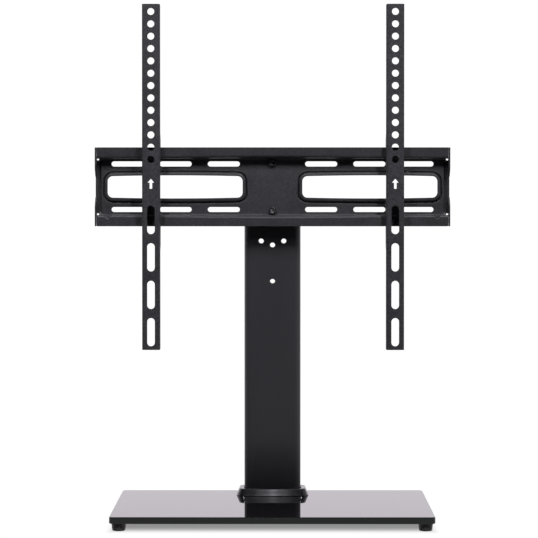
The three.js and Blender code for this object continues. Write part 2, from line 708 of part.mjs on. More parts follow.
function arm(innerSide) {
  // Front wall with softened long edges.
  const half = ARM_WIDTH / 2;
  const y0 = ARM_FRONT_Y;
  const y1 = ARM_FRONT_Y + SHEET;
  const wallSection = outline([
    [-half, y1],
    [-half, y0 + 1.2],
    [-half + 0.35, y0 + 0.35],
    [-half + 1.2, y0],
    [half - 1.2, y0],
    [half - 0.35, y0 + 0.35],
    [half, y0 + 1.2],
    [half, y1],
  ]);
  let body = solid(alongZ(wallSection, ARM_BOTTOM, ARM_TOP));
  // The wall's four corners are clipped, as a blanked strip's are.
  body = body.intersect(
    solid(
      alongY(
        roundedRect(ARM_WIDTH, ARM_TOP - ARM_BOTTOM, ARM_END_R, 0, (ARM_TOP + ARM_BOTTOM) / 2),
        y0 - 1,
        y1 + 1,
        2,
      ),
    ),
  );
  const clippedFlange = (x0) =>
    solid(alongX(flangeOutline, x0, x0 + SHEET)).intersect(
      solid(box(-20, 20, y0 + 1.2, 70, ARM_BOTTOM + 0.6, ARM_TOP - 0.6)),
    );
  body = join(body, clippedFlange(-half), clippedFlange(half - SHEET));

  const holes = [];
  for (let i = 0; i < HOLE.count; i++)
    holes.push(
      solid(rodY(HOLE.d, y0 - 1, y1 + 1, 0, ARM_TOP - HOLE.first - i * HOLE.pitch, 16)),
    );
  for (const z of ARM_SLOT.z)
    holes.push(
      solid(
        alongY(
          roundedRect(ARM_SLOT.width, ARM_SLOT.length, ARM_SLOT.width / 2 - 0.001, 0, z),
          y0 - 1,
          y1 + 1,
          4,
        ),
      ),
    );
  holes.push(
    solid(
      alongY(
        outline([
          [-ARROW.shaft / 2, ARROW.bottom],
          [ARROW.shaft / 2, ARROW.bottom],
          [ARROW.shaft / 2, ARROW.neck],
          [ARROW.head / 2, ARROW.neck],
          [0, ARROW.top],
          [-ARROW.head / 2, ARROW.neck],
          [-ARROW.shaft / 2, ARROW.neck],
        ]),
        y0 - 1,
        y1 + 1,
      ),
    ),
  );
  body = cut(body, ...holes);

  // Lock screw tab, lanced inwards from the inner flange under the bottom lip.
  const inner = innerSide * (half - SHEET / 2);
  const tabEnd = innerSide * 3.2;
  const [x0, x1] = inner < tabEnd ? [inner, tabEnd] : [tabEnd, inner];
  const tab = cut(
    solid(box(x0, x1, 45, 57.2, LOCK_TAB.z, LOCK_TAB.z + LOCK_TAB.thickness)),
    solid(
      rodZ(
        LOCK.d + 0.3,
        LOCK_TAB.z - 1,
        LOCK_TAB.z + LOCK_TAB.thickness + 1,
        innerSide * LOCK.offset,
        LOCK.y,
        16,
      ),
    ),
  );
  return geometryOf(join(body, tab));
}

// Headless lock screw with a hexagon socket at its lower end.
const lockScrew = cut(
  solid(
    turned(
      [
        [0, 0],
        [LOCK.d / 2 - 0.3, 0],
        [LOCK.d / 2, 0.3],
        [LOCK.d / 2, LOCK.length - 0.8],
        [LOCK.d / 2 - 0.8, LOCK.length],
        [0, LOCK.length],
      ],
      16,
    ),
  ),
  solid(new THREE.CylinderGeometry(1.1, 1.1, 4, 6).rotateX(Math.PI / 2)),
);

for (const [name, side] of [
  ["left", -1],
  ["right", 1],
]) {
  const holder = new THREE.Group();
  holder.position.x = ARM_X[name];
  stand.add(holder);
  add("arm_" + name, arm(-side), paintedSteel, 0, 0, 0, holder);
  add(
    "lock_screw_" + name,
    geometryOf(lockScrew),
    blackenedSteel,
    -side * LOCK.offset,
    LOCK.y,
    LOCK.tip - LOCK.length,
    holder,
  );
}

export default stand;
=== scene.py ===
# Looks of the table-top television stand: glass base, steel column, pressed mount plate and two
# slotted arms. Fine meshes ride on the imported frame's bodies. Lengths here are millimetres until a
# mesh is made; +Z is up and -Y faces the television.

import math

import bpy
import numpy as np
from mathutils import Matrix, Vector
from mathutils.geometry import delaunay_2d_cdt


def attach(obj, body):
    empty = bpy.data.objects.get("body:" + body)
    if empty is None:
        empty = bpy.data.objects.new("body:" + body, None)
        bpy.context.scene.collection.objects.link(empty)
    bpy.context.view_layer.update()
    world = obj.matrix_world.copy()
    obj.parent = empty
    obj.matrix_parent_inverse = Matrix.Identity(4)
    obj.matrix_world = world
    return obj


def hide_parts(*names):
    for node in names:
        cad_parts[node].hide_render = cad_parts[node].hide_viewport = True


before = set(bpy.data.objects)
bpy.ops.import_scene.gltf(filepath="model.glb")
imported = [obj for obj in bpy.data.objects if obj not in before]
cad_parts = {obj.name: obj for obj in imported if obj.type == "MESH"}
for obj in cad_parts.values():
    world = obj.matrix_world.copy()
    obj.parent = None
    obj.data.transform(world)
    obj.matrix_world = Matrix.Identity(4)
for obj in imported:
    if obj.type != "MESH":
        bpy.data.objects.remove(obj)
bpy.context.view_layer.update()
scene = bpy.context.scene
MM = 0.001

# ---------------------------------------------------------------- camera

camera_data = bpy.data.cameras.new("camera")
camera_data.sensor_width = 36.0
camera_data.sensor_fit = "HORIZONTAL"
camera_data.lens = 36.0 * 2198.6 / 538.0
camera_data.shift_y = -37.66 / 538.0
camera_data.clip_start = 0.05
camera_data.clip_end = 60.0
camera = bpy.data.objects.new("camera", camera_data)
camera.location = (0.0057, -2.6689, 0.3869)
camera.rotation_euler = (math.pi / 2 - 0.01474, 0.0, 0.003671)
scene.collection.objects.link(camera)
scene.camera = camera
scene.view_settings.view_transform = "Standard"
scene.view_settings.look = "None"
scene.view_settings.exposure = 0.0
scene.view_settings.gamma = 1.0

# ---------------------------------------------------------------- mesh helpers


def area_normals(co, faces):
    """Vertex normals in which each face counts by its area, so that flats stay flat beside fine bevels."""
    total = np.zeros_like(co)
    for size in sorted({len(f) for f in faces}):
        idx = np.array([f for f in faces if len(f) == size])
        p = co[idx]
        a = np.cross(p, np.roll(p, -1, axis=1)).sum(axis=1)
        for k in range(size):
            np.add.at(total, idx[:, k], a)
    length = np.linalg.norm(total, axis=1, keepdims=True)
    return total / np.maximum(length, 1e-12)


def combine(*parts):
    """Several closed shells as one list of points and faces, with the faces' material numbers."""
    co, faces, mats, start = [], [], [], 0
    for part in parts:
        c, f = part[0], part[1]
        m = part[2] if len(part) > 2 else [0] * len(f)
        co.append(c)
        faces += [tuple(i + start for i in face) for face in f]
        mats += list(m)
        start += len(c)
    return np.vstack(co), faces, mats


def make(name, part, materials, body, replaced=()):
    """A named piece that rides on a body and stands for its CAD nodes."""
    co, faces = part[0], part[1]
    mesh = bpy.data.meshes.new(name)
    mesh.from_pydata((co * MM).tolist(), [], [tuple(int(i) for i in f) for f in faces])
    mesh.polygons.foreach_set("use_smooth", [True] * len(faces))
    materials = materials if isinstance(materials, (list, tuple)) else [materials]
    for m in materials:
        mesh.materials.append(m)
    if len(part) > 2 and len(materials) > 1:
        mesh.polygons.foreach_set("material_index", [int(m) for m in part[2]])
    mesh.update()
    mesh.normals_split_custom_set_from_vertices(area_normals(co, faces).tolist())
    obj = bpy.data.objects.new(name, mesh)
    scene.collection.objects.link(obj)
    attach(obj, body)
    if replaced:
        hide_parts(*replaced)
    return obj


# ---------------------------------------------------------------- flat outlines (u to the right, v up)


def rounded(points, default=0.0, steps=4):
    """A closed outline with its corners rounded; a point may carry its own radius as a third number."""
    out = []
    n = len(points)
    for i, p in enumerate(points):
        r = p[2] if len(p) > 2 else default
        a, b, c = (np.array(points[k % n][:2], float) for k in (i - 1, i, i + 1))
        la, lc = np.linalg.norm(a - b), np.linalg.norm(c - b)
        d1, d2 = (a - b) / la, (c - b) / lc
        half = math.acos(float(np.clip(d1 @ d2, -1, 1))) / 2
        if r <= 0 or half > math.radians(89.2):
            out.append(b)
            continue
        reach = min(r / math.tan(half), 0.48 * la, 0.48 * lc)
        rr = reach * math.tan(half)
        centre = b + (d1 + d2) / np.linalg.norm(d1 + d2) * rr / math.sin(half)
        p0, p1 = b + d1 * reach - centre, b + d2 * reach - centre
        a0 = math.atan2(p0[1], p0[0])
        turn = (math.atan2(p1[1], p1[0]) - a0 + math.pi) % (2 * math.pi) - math.pi
        k = max(2, int(math.ceil(steps * abs(turn) / (math.pi / 2))))
        for j in range(k + 1):
            t = a0 + turn * j / k
            out.append(centre + rr * np.array([math.cos(t), math.sin(t)]))
    return np.array(out)


def dense(loop, step):
    """The outline with long edges split, so that it can follow a curved surface."""
    out = []
    for a, b in zip(loop, np.roll(loop, -1, axis=0)):
        k = max(1, int(math.ceil(np.linalg.norm(b - a) / step - 1e-6)))
        out += [a + (b - a) * j / k for j in range(k)]
    return np.array(out)


def circle(cx, cy, r, steps=36):
    t = np.arange(steps) * 2 * math.pi / steps
    return np.stack([cx + r * np.cos(t), cy + r * np.sin(t)], 1)


def oval(cx, cy, length, width, steps=12):
    """A slot with round ends, lying along u; a negative width lays it along v."""
    r = abs(width) / 2
    a = length / 2 - r
    t = np.linspace(-math.pi / 2, math.pi / 2, steps + 1)
    right = np.stack([a + r * np.cos(t), r * np.sin(t)], 1)
    loop = np.vstack([right, -right])
    if width < 0:
        loop = np.stack([-loop[:, 1], loop[:, 0]], 1)
    return loop + np.array([cx, cy])


def signed_area(loop):
    n = np.roll(loop, -1, axis=0)
    return float((loop[:, 0] * n[:, 1] - n[:, 0] * loop[:, 1]).sum() / 2)


def offset(loop, off):
    """The outline moved into the material, which lies to the left of its direction."""
    if off == 0:
        return loop.copy()
    d = np.roll(loop, -1, axis=0) - loop
    d /= np.linalg.norm(d, axis=1, keepdims=True)
    after = np.stack([-d[:, 1], d[:, 0]], 1)
    before = np.roll(after, 1, axis=0)
    m = after + before
    m /= np.linalg.norm(m, axis=1, keepdims=True)
    return loop + m * off / np.maximum((m * after).sum(1, keepdims=True), 0.45)


def within(points, loops):
    """Which points lie on the material side: inside the outline and outside its holes."""
    out = np.zeros(len(points), bool)
    for start in range(0, len(points), 3000):
        p = points[start : start + 3000]
        odd = np.zeros(len(p), bool)
        for loop in loops:
            a, b = loop, np.roll(loop, -1, axis=0)
            span = (a[None, :, 1] > p[:, None, 1]) != (b[None, :, 1] > p[:, None, 1])
            dy = b[:, 1] - a[:, 1]
            dy = np.where(np.abs(dy) < 1e-12, 1e-12, dy)
            x = a[None, :, 0] + (p[:, None, 1] - a[None, :, 1]) * ((b[:, 0] - a[:, 0]) / dy)[None, :]
            odd ^= ((span & (p[:, None, 0] < x)).sum(1) % 2).astype(bool)
        out[start : start + 3000] = odd
    return out


def clearance(points, loops):
    """Distance of each point from the nearest outline."""
    out = np.full(len(points), 1e9)
    for start in range(0, len(points), 2000):
        p = points[start : start + 2000]
        for loop in loops:
            a, b = loop, np.roll(loop, -1, axis=0)
            d = b - a
            l2 = np.maximum((d * d).sum(1), 1e-12)
            ap = p[:, None, :] - a[None, :, :]
            t = np.clip((ap * d[None]).sum(2) / l2[None], 0, 1)
            q = ap - t[:, :, None] * d[None]
            out[start : start + 2000] = np.minimum(
                out[start : start + 2000], np.sqrt((q * q).sum(2)).min(1)
            )
    return out


def sheet(place, outer, holes, thickness, extra=(), edge=0.3, steps=3, clear=0.35, profile=None):
    """A closed sheet of even thickness: place(uv, depth) puts flat points on its front, or behind it."""
    loops = [outer if signed_area(outer) > 0 else outer[::-1]]
    loops += [h if signed_area(h) < 0 else h[::-1] for h in holes]
    if profile is None:
        profile = []
        for k in range(1, steps + 1):
            t = math.pi / 2 * k / steps
            profile.append((edge * (1 - math.sin(t)), edge * (1 - math.cos(t))))
    rim = [(o, d) for o, d in profile] + [(o, thickness - d) for o, d in reversed(profile)]
    top = [offset(l, edge) for l in loops]
    points = np.vstack(top)
    edges, base, start = [], [], 0
    for l in top:
        ids = np.arange(start, start + len(l))
        edges += list(zip(ids.tolist(), np.roll(ids, -1).tolist()))
        base.append(ids)
        start += len(l)
    if len(extra):
        extra = np.array(extra, float)
        extra = extra[within(extra, top)]
        extra = extra[clearance(extra, top) > clear]
        points = np.vstack([points, extra])
    verts, _, tris, origin, _, _ = delaunay_2d_cdt(
        [Vector(p) for p in points.tolist()], edges, [], 0, 1e-7, True
    )
    flat = np.array([tuple(v) for v in verts])
    where = {}
    for i, sources in enumerate(origin):
        for s in sources:
            where[s] = i
    tris = np.array([t for t in tris if len(t) == 3])
    middle = flat[tris].mean(1)
    tris = tris[within(middle, top)]
    p = flat[tris]
    turn = (p[:, 1, 0] - p[:, 0, 0]) * (p[:, 2, 1] - p[:, 0, 1]) - (p[:, 1, 1] - p[:, 0, 1]) * (
        p[:, 2, 0] - p[:, 0, 0]
    )
    tris = tris[np.abs(turn) > 1e-9]
    turn = turn[np.abs(turn) > 1e-9]
    tris[turn < 0] = tris[turn < 0][:, ::-1]
    n = len(flat)
    co = [place(flat, np.zeros(n)), place(flat, np.full(n, float(thickness)))]
    faces = [tuple(t) for t in tris.tolist()] + [(c + n, b + n, a + n) for a, b, c in tris.tolist()]
    kinds = [0] * (2 * len(tris))
    start = 2 * n
    for l, ids in zip(loops, base):
        front = np.array([where[i] for i in ids.tolist()])
        rings = [front]
        for off, depth in rim:
            ring = place(offset(l, off), np.full(len(l), float(depth)))
            co.append(ring)
            rings.append(np.arange(start, start + len(l)))
            start += len(l)
        rings.append(front + n)
        for a, b in zip(rings, rings[1:]):
            a2, b2 = np.roll(a, -1), np.roll(b, -1)
            faces += [tuple(q) for q in np.stack([a, b, b2, a2], 1).tolist()]
            kinds += [1] * len(a)
    return np.vstack(co), faces, kinds


# ---------------------------------------------------------------- turned and lofted shapes

HEX_ANGLES = np.radians(
    [60 * k + a for k in range(6) for a in (-29.3, -26, -18, -9, 0, 9, 18, 26, 29.3)]
)


def ring_radius(item, angles):
    """Radius at each angle: (r, z) is round, (r, z, "hex") a hexagon across r, (r, z, a) the smaller of both."""
    r = np.full(len(angles), float(item[0]))
    if len(item) > 2:
        a = item[0] if item[2] == "hex" else item[2]
        wedge = (angles + math.pi / 6) % (math.pi / 3) - math.pi / 6
        six = a / np.cos(wedge)
        r = six if item[2] == "hex" else np.minimum(r, six)
    return r


def loft(rings, closed=False):
    """Skins rings of equal length; a ring of one point closes an end."""
    co = np.vstack(rings)
    ids, start = [], 0
    for r in rings:
        ids.append(np.arange(start, start + len(r)))
        start += len(r)
    faces = []
    pairs = list(zip(ids, ids[1:]))
    if closed:
        pairs.append((ids[-1], ids[0]))
    for a, b in pairs:
        if len(a) == 1 and len(b) == 1:
            continue
        if len(a) == 1:
            b2 = np.roll(b, -1)
            faces += [(int(a[0]), int(y), int(x)) for x, y in zip(b, b2)]
        elif len(b) == 1:
            a2 = np.roll(a, -1)
            faces += [(int(x), int(y), int(b[0])) for x, y in zip(a, a2)]
        else:
            a2, b2 = np.roll(a, -1), np.roll(b, -1)
            faces += [tuple(q) for q in np.stack([a, a2, b2, b], 1).tolist()]
    return co, faces


def turned(profile, angles=None, closed=False):
    """A turned piece on the Z axis; the profile runs upwards outside."""
    if angles is None:
        angles = np.arange(64) * 2 * math.pi / 64
    rings = []
    for item in profile:
        if item[0] == 0:
            rings.append(np.array([[0.0, 0.0, item[1]]]))
        else:
            r = ring_radius(item, angles)
            rings.append(np.stack([r * np.cos(angles), r * np.sin(angles), np.full(len(r), item[1])], 1))
    return loft(rings, closed)


def moved(part, x=0.0, y=0.0, z=0.0, along="z"):
    """The part with its axis along Z, or along Y with its top to the back, at a place."""
    co = part[0]
    if along == "y":
        co = np.stack([co[:, 0], co[:, 2], -co[:, 1]], 1)
    return (co + np.array([x, y, z]),) + tuple(part[1:])


def spun(part, degrees):
    t = math.radians(degrees)
    c, s = math.cos(t), math.sin(t)
    co = part[0]
    return (np.stack([co[:, 0] * c - co[:, 1] * s, co[:, 0] * s + co[:, 1] * c, co[:, 2]], 1),) + tuple(
        part[1:]
    )


def soft(profile, r=0.3, steps=3):
    """A half profile with rounded corners; the points on the axis stay as they are."""
    out = []
    for i, p in enumerate(profile):
        if i in (0, len(profile) - 1) or (len(p) > 2 and not isinstance(p[2], float)):
            out.append(tuple(p))
            continue
        rr = p[2] if len(p) > 2 else r
        a, b, c = (np.array(profile[k][:2], float) for k in (i - 1, i, i + 1))
        la, lc = np.linalg.norm(a - b), np.linalg.norm(c - b)
        d1, d2 = (a - b) / la, (c - b) / lc
        half = math.acos(float(np.clip(d1 @ d2, -1, 1))) / 2
        if rr <= 0 or half > math.radians(89):
            out.append((float(b[0]), float(b[1])))
            continue
        reach = min(rr / math.tan(half), 0.45 * la, 0.45 * lc)
        for j in range(steps + 1):
            t = j / steps
            q = (1 - t) ** 2 * (b + d1 * reach) + 2 * t * (1 - t) * b + t * t * (b + d2 * reach)
            out.append((float(q[0]), float(q[1])))
    return out


def box_ring(width, depth, r, z, cx=0.0, cy=0.0, corner=10, long=14, short=5, bulge=0.0):
    """A rounded rectangle at a height, anticlockwise; bulge bows its long sides out."""
    w, d = width / 2, depth / 2
    out = []
    corners = [(w - r, -d + r, -90), (w - r, d - r, 0), (-w + r, d - r, 90), (-w + r, -d + r, 180)]
    for k, (x, y, a0) in enumerate(corners):
        for j in range(corner + 1):
            t = math.radians(a0 + 90 * j / corner)
            out.append((x + r * math.cos(t), y + r * math.sin(t)))
        nx, ny, b0 = corners[(k + 1) % 4]
        x1, y1 = out[-1]
        t = math.radians(b0)
        x2, y2 = nx + r * math.cos(t), ny + r * math.sin(t)
        count = short if k in (0, 2) else long
        for j in range(1, count):
            f = j / count
            out.append((x1 + (x2 - x1) * f, y1 + (y2 - y1) * f))
    p = np.array(out)
    if bulge:
        lean = np.maximum(0, 1 - (p[:, 0] / w) ** 2) * np.clip(np.abs(p[:, 1]) / d * 4 - 3, 0, 1)
        p[:, 1] += np.sign(p[:, 1]) * bulge * lean
    return np.stack([p[:, 0] + cx, p[:, 1] + cy, np.full(len(p), float(z))], 1)


def threads(r, z0, z1, pitch=1.0, depth=0.42):
    """Profile points of a cut thread, as fine grooves."""
    out, z = [], z0
    while z + pitch <= z1 + 1e-6:
        out += [
            (r, z + 0.10 * pitch),
            (r - depth, z + 0.42 * pitch),
            (r - depth, z + 0.58 * pitch),
            (r, z + 0.90 * pitch),
        ]
        z += pitch
    return out


# ---------------------------------------------------------------- materials


class Nodes:
    """Small helper that wires a procedural material."""

    def __init__(self, name):
        self.material = bpy.data.materials.new(name)
        self.material.use_nodes = True
        self.tree = self.material.node_tree
        self.shader = self.tree.nodes["Principled BSDF"]
        self.coords = self.new("ShaderNodeTexCoord").outputs["Object"]

    def new(self, kind, **settings):
        node = self.tree.nodes.new(kind)
        for key, value in settings.items():
            setattr(node, key, value)
        return node

    def link(self, a, b):
        self.tree.links.new(a, b)

    def noise(self, scale, detail=2.0, rough=0.5, distortion=0.0, stretch=None):
        node = self.new("ShaderNodeTexNoise")
        node.inputs["Scale"].default_value = scale
        node.inputs["Detail"].default_value = detail
        node.inputs["Roughness"].default_value = rough
        node.inputs["Distortion"].default_value = distortion
        source = self.coords
        if stretch:
            mapping = self.new("ShaderNodeMapping")
            mapping.inputs["Scale"].default_value = stretch
            self.link(self.coords, mapping.inputs["Vector"])
            source = mapping.outputs["Vector"]
        self.link(source, node.inputs["Vector"])
        return node.outputs["Fac"]

    def spread(self, value, a, b, low, high):
        node = self.new("ShaderNodeMapRange", interpolation_type="SMOOTHSTEP")
        for key, v in (("From Min", a), ("From Max", b), ("To Min", low), ("To Max", high)):
            node.inputs[key].default_value = v
        self.link(value, node.inputs["Value"])
        return node.outputs["Result"]

    def ramp(self, value, stops):
        node = self.new("ShaderNodeValToRGB")
        ramp = node.color_ramp
        while len(ramp.elements) < len(stops):
            ramp.elements.new(0.5)
        for element, (position, colour) in zip(ramp.elements, stops):
            element.position = position
            element.color = (*colour, 1.0)
        self.link(value, node.inputs["Fac"])
        return node.outputs["Color"]

    def multiply(self, colour, value):
        node = self.new("ShaderNodeMix", data_type="RGBA", blend_type="MULTIPLY")
        node.inputs["Factor"].default_value = 1.0
        self.link(colour, node.inputs["A"])
        self.link(value, node.inputs["B"])
        return node.outputs["Result"]

    def math(self, operation, a, b):
        node = self.new("ShaderNodeMath", operation=operation)
        for socket, v in zip(node.inputs, (a, b)):
            if isinstance(v, (int, float)):
                socket.default_value = v
            else:
                self.link(v, socket)
        return node.outputs["Value"]

    def bump(self, height, distance, strength=1.0, below=None):
        node = self.new("ShaderNodeBump")
        node.inputs["Distance"].default_value = distance
        node.inputs["Strength"].default_value = strength
        self.link(height, node.inputs["Height"])
        if below is not None:
            self.link(below, node.inputs["Normal"])
        return node.outputs["Normal"]

    def set(self, **values):
        for key, value in values.items():
            socket = self.shader.inputs[key.replace("_", " ")]
            if isinstance(value, (int, float, tuple)):
                socket.default_value = value
            else:
                self.link(value, socket)
        return self.material


def grey(v, violet=1.0):
    """A near-black with the faint violet cast of the real finish."""
    return (v * (1 + 0.03 * violet), v, v * (1 + 0.20 * violet))


def powder_coat(name, dark, light, rough, grain=950.0, tooth=0.00006, specular=0.5, peel=0.00005, coat=0.0):
    n = Nodes(name)
    fine = n.noise(grain, 2.5, 0.6)
    coarse = n.noise(grain * 0.42, 2.0, 0.55)
    cloud = n.noise(38.0, 3.0, 0.55)
    mixed = n.math("ADD", n.math("MULTIPLY", fine, 0.55), n.math("MULTIPLY", coarse, 0.45))
    colour = n.ramp(mixed, [(0.36, dark), (0.5, tuple((a + b) / 2 for a, b in zip(dark, light))), (0.66, light)])
    tint = n.spread(cloud, 0.3, 0.7, 0.9, 1.1)
    roughness = n.math("MULTIPLY", n.spread(mixed, 0.35, 0.65, rough + 0.05, rough - 0.05), tint)
    low = n.bump(n.noise(230.0, 2.0, 0.5), peel)
    return n.set(
        Base_Color=n.multiply(colour, tint),
        Roughness=roughness,
        Normal=n.bump(mixed, tooth, 1.0, low),
        Specular_IOR_Level=specular,
        Coat_Weight=coat,
        Coat_Roughness=0.36,
    )


plate_coat = powder_coat("plate_coat", grey(0.0255), grey(0.049), 0.66, 900.0, 0.00007, 0.30, coat=0.36)
arm_coat = powder_coat("arm_coat", grey(0.023), grey(0.057), 0.64, 700.0, 0.00010, 0.32)
foot_plate_coat = powder_coat("foot_plate_coat", grey(0.012), grey(0.030), 0.55)


def column_coat():
    n = Nodes("column_coat")
    peel = n.noise(420.0, 2.0, 0.5)
    fine = n.noise(1500.0, 2.0, 0.5)
    cloud = n.noise(16.0, 3.0, 0.5, 0.0, (1.0, 1.0, 0.35))
    colour = n.ramp(fine, [(0.35, grey(0.028)), (0.65, grey(0.039))])
    rough = n.math("ADD", n.spread(cloud, 0.3, 0.7, 0.42, 0.48), n.spread(peel, 0.3, 0.7, -0.01, 0.01))
    low = n.bump(peel, 0.000035)
    return n.set(Base_Color=colour, Roughness=rough, Normal=n.bump(fine, 0.000012, 1.0, low))


def black_glass(name, base, low, high, tint):
    n = Nodes(name)
    smear = n.noise(9.0, 5.0, 0.62, 1.2)
    wave = n.noise(5.0, 1.0, 0.4)
    colour = n.ramp(n.noise(60.0, 2.0, 0.5), [(0.3, base), (0.7, tuple(c * 1.15 for c in base))])
    return n.set(
        Base_Color=colour,
        Roughness=n.spread(smear, 0.35, 0.75, low, high),
        Normal=n.bump(wave, 0.00004),
        IOR=1.52,
        Specular_Tint=tint,
    )


def rubber(name, dark, light, rough):
    n = Nodes(name)
    fine = n.noise(1300.0, 3.0, 0.6)
    dust = n.noise(140.0, 4.0, 0.6)
    colour = n.multiply(n.ramp(fine, [(0.3, dark), (0.7, light)]), n.spread(dust, 0.35, 0.8, 0.85, 1.35))
    return n.set(
        Base_Color=colour,
        Roughness=n.spread(dust, 0.3, 0.7, rough - 0.06, rough + 0.08),
        Normal=n.bump(fine, 0.00003),
        Specular_IOR_Level=0.35,
    )


def moulded(name, dark, light, rough, texture=900.0, depth=0.00002):
    n = Nodes(name)
    fine = n.noise(texture, 2.0, 0.5)
    cloud = n.noise(30.0, 3.0, 0.5)
    return n.set(
        Base_Color=n.ramp(cloud, [(0.3, dark), (0.7, light)]),
        Roughness=n.math("ADD", n.spread(cloud, 0.3, 0.7, rough - 0.03, rough + 0.03), n.spread(fine, 0.3, 0.7, -0.02, 0.02)),
        Normal=n.bump(fine, depth),
    )


def metal(name, dark, light, rough, metallic=1.0, scratch=0.000006):
    n = Nodes(name)
    streak = n.noise(900.0, 3.0, 0.6, 0.0, (1.0, 1.0, 0.08))
    spot = n.noise(260.0, 4.0, 0.6)
    return n.set(
        Base_Color=n.ramp(spot, [(0.3, dark), (0.7, light)]),
        Metallic=metallic,
        Roughness=n.math("ADD", n.spread(spot, 0.3, 0.7, rough - 0.06, rough + 0.06), n.spread(streak, 0.3, 0.7, -0.03, 0.03)),
        Normal=n.bump(streak, scratch),
    )


column_paint = column_coat()
glass_top = black_glass("glass_top", grey(0.007), 0.012, 0.035, (1.0, 0.955, 1.01, 1.0))
glass_edge = black_glass("glass_edge", (0.007, 0.009, 0.009), 0.05, 0.12, (0.97, 1.0, 0.98, 1.0))
foot_rubber = rubber("foot_rubber", grey(0.088, 0.2), grey(0.155, 0.2), 0.62)
gasket_rubber = rubber("gasket_rubber", grey(0.014), grey(0.024), 0.82)
trim_plastic = moulded("trim_plastic", grey(0.010), grey(0.015), 0.40, 1100.0, 0.000006)
for key, value in (("Coat Weight", 0.55), ("Coat Roughness", 0.09)):
    trim_plastic.node_tree.nodes["Principled BSDF"].inputs[key].default_value = value
cap_plastic = moulded("cap_plastic", grey(0.012), grey(0.020), 0.48, 800.0, 0.00003)
black_screw = metal("black_screw", grey(0.035), grey(0.075), 0.34, 0.85)
zinc_steel = metal("zinc_steel", (0.46, 0.47, 0.49), (0.62, 0.62, 0.61), 0.30)

# ---------------------------------------------------------------- glass base

GLASS = {"width": 380.0, "depth": 240.0, "top": 17.0, "thick": 8.0, "r": 5.5, "arris": 0.8}
COLUMN_Y = 83.0
bolts = [(-24.0, 75.0), (24.0, 75.0), (-24.0, 91.0), (24.0, 91.0)]


def flat_at(top):
    """Puts a flat outline's front on a horizontal plane, its depth downwards."""
    return lambda uv, depth: np.stack([uv[:, 0], uv[:, 1], top - depth], 1)


def plate_outline(width, depth, r, cy=0.0, step=6.0):
    w, d = width / 2, depth / 2
    return dense(rounded([(-w, cy - d), (w, cy - d), (w, cy + d), (-w, cy + d)], r, 12), step)


arris = [(0.72, 0.02), (0.62, 0.10), (0.10, 0.62), (0.02, 0.72), (0.0, 0.90)]
glass = sheet(
    flat_at(GLASS["top"]),
    plate_outline(GLASS["width"], GLASS["depth"], GLASS["r"], 0.0, 12.0),
    [circle(x, y, 4.5, 32) for x, y in bolts],
    GLASS["thick"],
    [(x, y) for x in np.arange(-180, 181, 15.0) for y in np.arange(-110, 111, 15.0)],
    edge=0.9,
    profile=arris,
    clear=3.0,
)
make("glass_base_shown", glass, [glass_top, glass_edge], "stand", ["glass_base"])

foot = turned(
    [
        (0, 0.9),
        (3.0, 0.9),
        (3.4, 0.5),
        (4.0, 0.05),
        (4.6, 0.0),
        (6.4, 0.0),
        (7.0, 0.12),
        (7.42, 0.45),
        (7.66, 0.95),
        (7.78, 1.5),
        (8.02, 3.4),
        (8.1, 3.95),
        (7.98, 4.12),
        (7.98, 4.38),
        (8.14, 4.55),
        (8.3, 6.0),
        (8.44, 7.6),
        (8.48, 8.3),
        (8.4, 8.75),
        (8.15, 8.99),
        (7.6, 9.0),
        (0, 9.0),
    ],
    np.arange(72) * 2 * math.pi / 72,
)
for name, x, y in (
    ("foot_front_left", -179, -108.7),
    ("foot_front_right", 179, -108.7),
    ("foot_rear_left", -179, 108.7),
    ("foot_rear_right", 179, 108.7),
):
    make(name + "_shown", moved(foot, x, y, 0), foot_rubber, "stand", [name])

# ---------------------------------------------------------------- foot of the column


def drilled(width, depth, top, thickness, hole, edge, corner=4.0):
    return sheet(
        flat_at(top),
        plate_outline(width, depth, corner, COLUMN_Y, 8.0),
        [circle(x, y, hole / 2, 32) for x, y in bolts],
        thickness,
        edge=edge,
        steps=2,
    )


make("foot_gasket_shown", drilled(78, 36, 18.0, 1.0, 8, 0.2), gasket_rubber, "stand", ["foot_gasket"])
make("column_foot_plate_shown", drilled(78, 36, 22.0, 4.0, 6.3, 0.4), foot_plate_coat, "stand", ["column_foot_plate"])
make("under_gasket_shown", drilled(92, 52, 9.0, 1.0, 8, 0.2), gasket_rubber, "stand", ["under_gasket"])
make("spreader_plate_shown", drilled(92, 52, 8.0, 2.0, 7, 0.35), foot_plate_coat, "stand", ["spreader_plate"])

base_screw = turned(
    [(0, 1.9), (2.3, 1.75, "hex"), (2.3, 0.25, "hex"), (2.6, 0.02, "hex"), (3.4, 0.0), (4.45, 0.0)]
    + [(4.75, 0.08), (4.95, 0.3), (5.0, 0.6), (5.0, 2.35), (4.85, 2.58), (4.5, 2.6), (3.2, 2.6), (3.0, 2.8), (3.0, 12.0)]
    + threads(3.0, 12.0, 20.0)
    + [(3.0, 20.3), (2.4, 21.4), (0, 21.4)],
    HEX_ANGLES,
)


def washer(outer, hole, thickness, edge=0.2):
    e = edge
    return turned(
        [
            (hole / 2, e), (hole / 2 + e, 0), (outer / 2 - e, 0), (outer / 2 - e * 0.3, e * 0.3), (outer / 2, e),
            (outer / 2, thickness - e), (outer / 2 - e * 0.3, thickness - e * 0.3), (outer / 2 - e, thickness),
            (hole / 2 + e, thickness), (hole / 2, thickness - e),
        ],
        np.arange(48) * 2 * math.pi / 48,
        closed=True,
    )


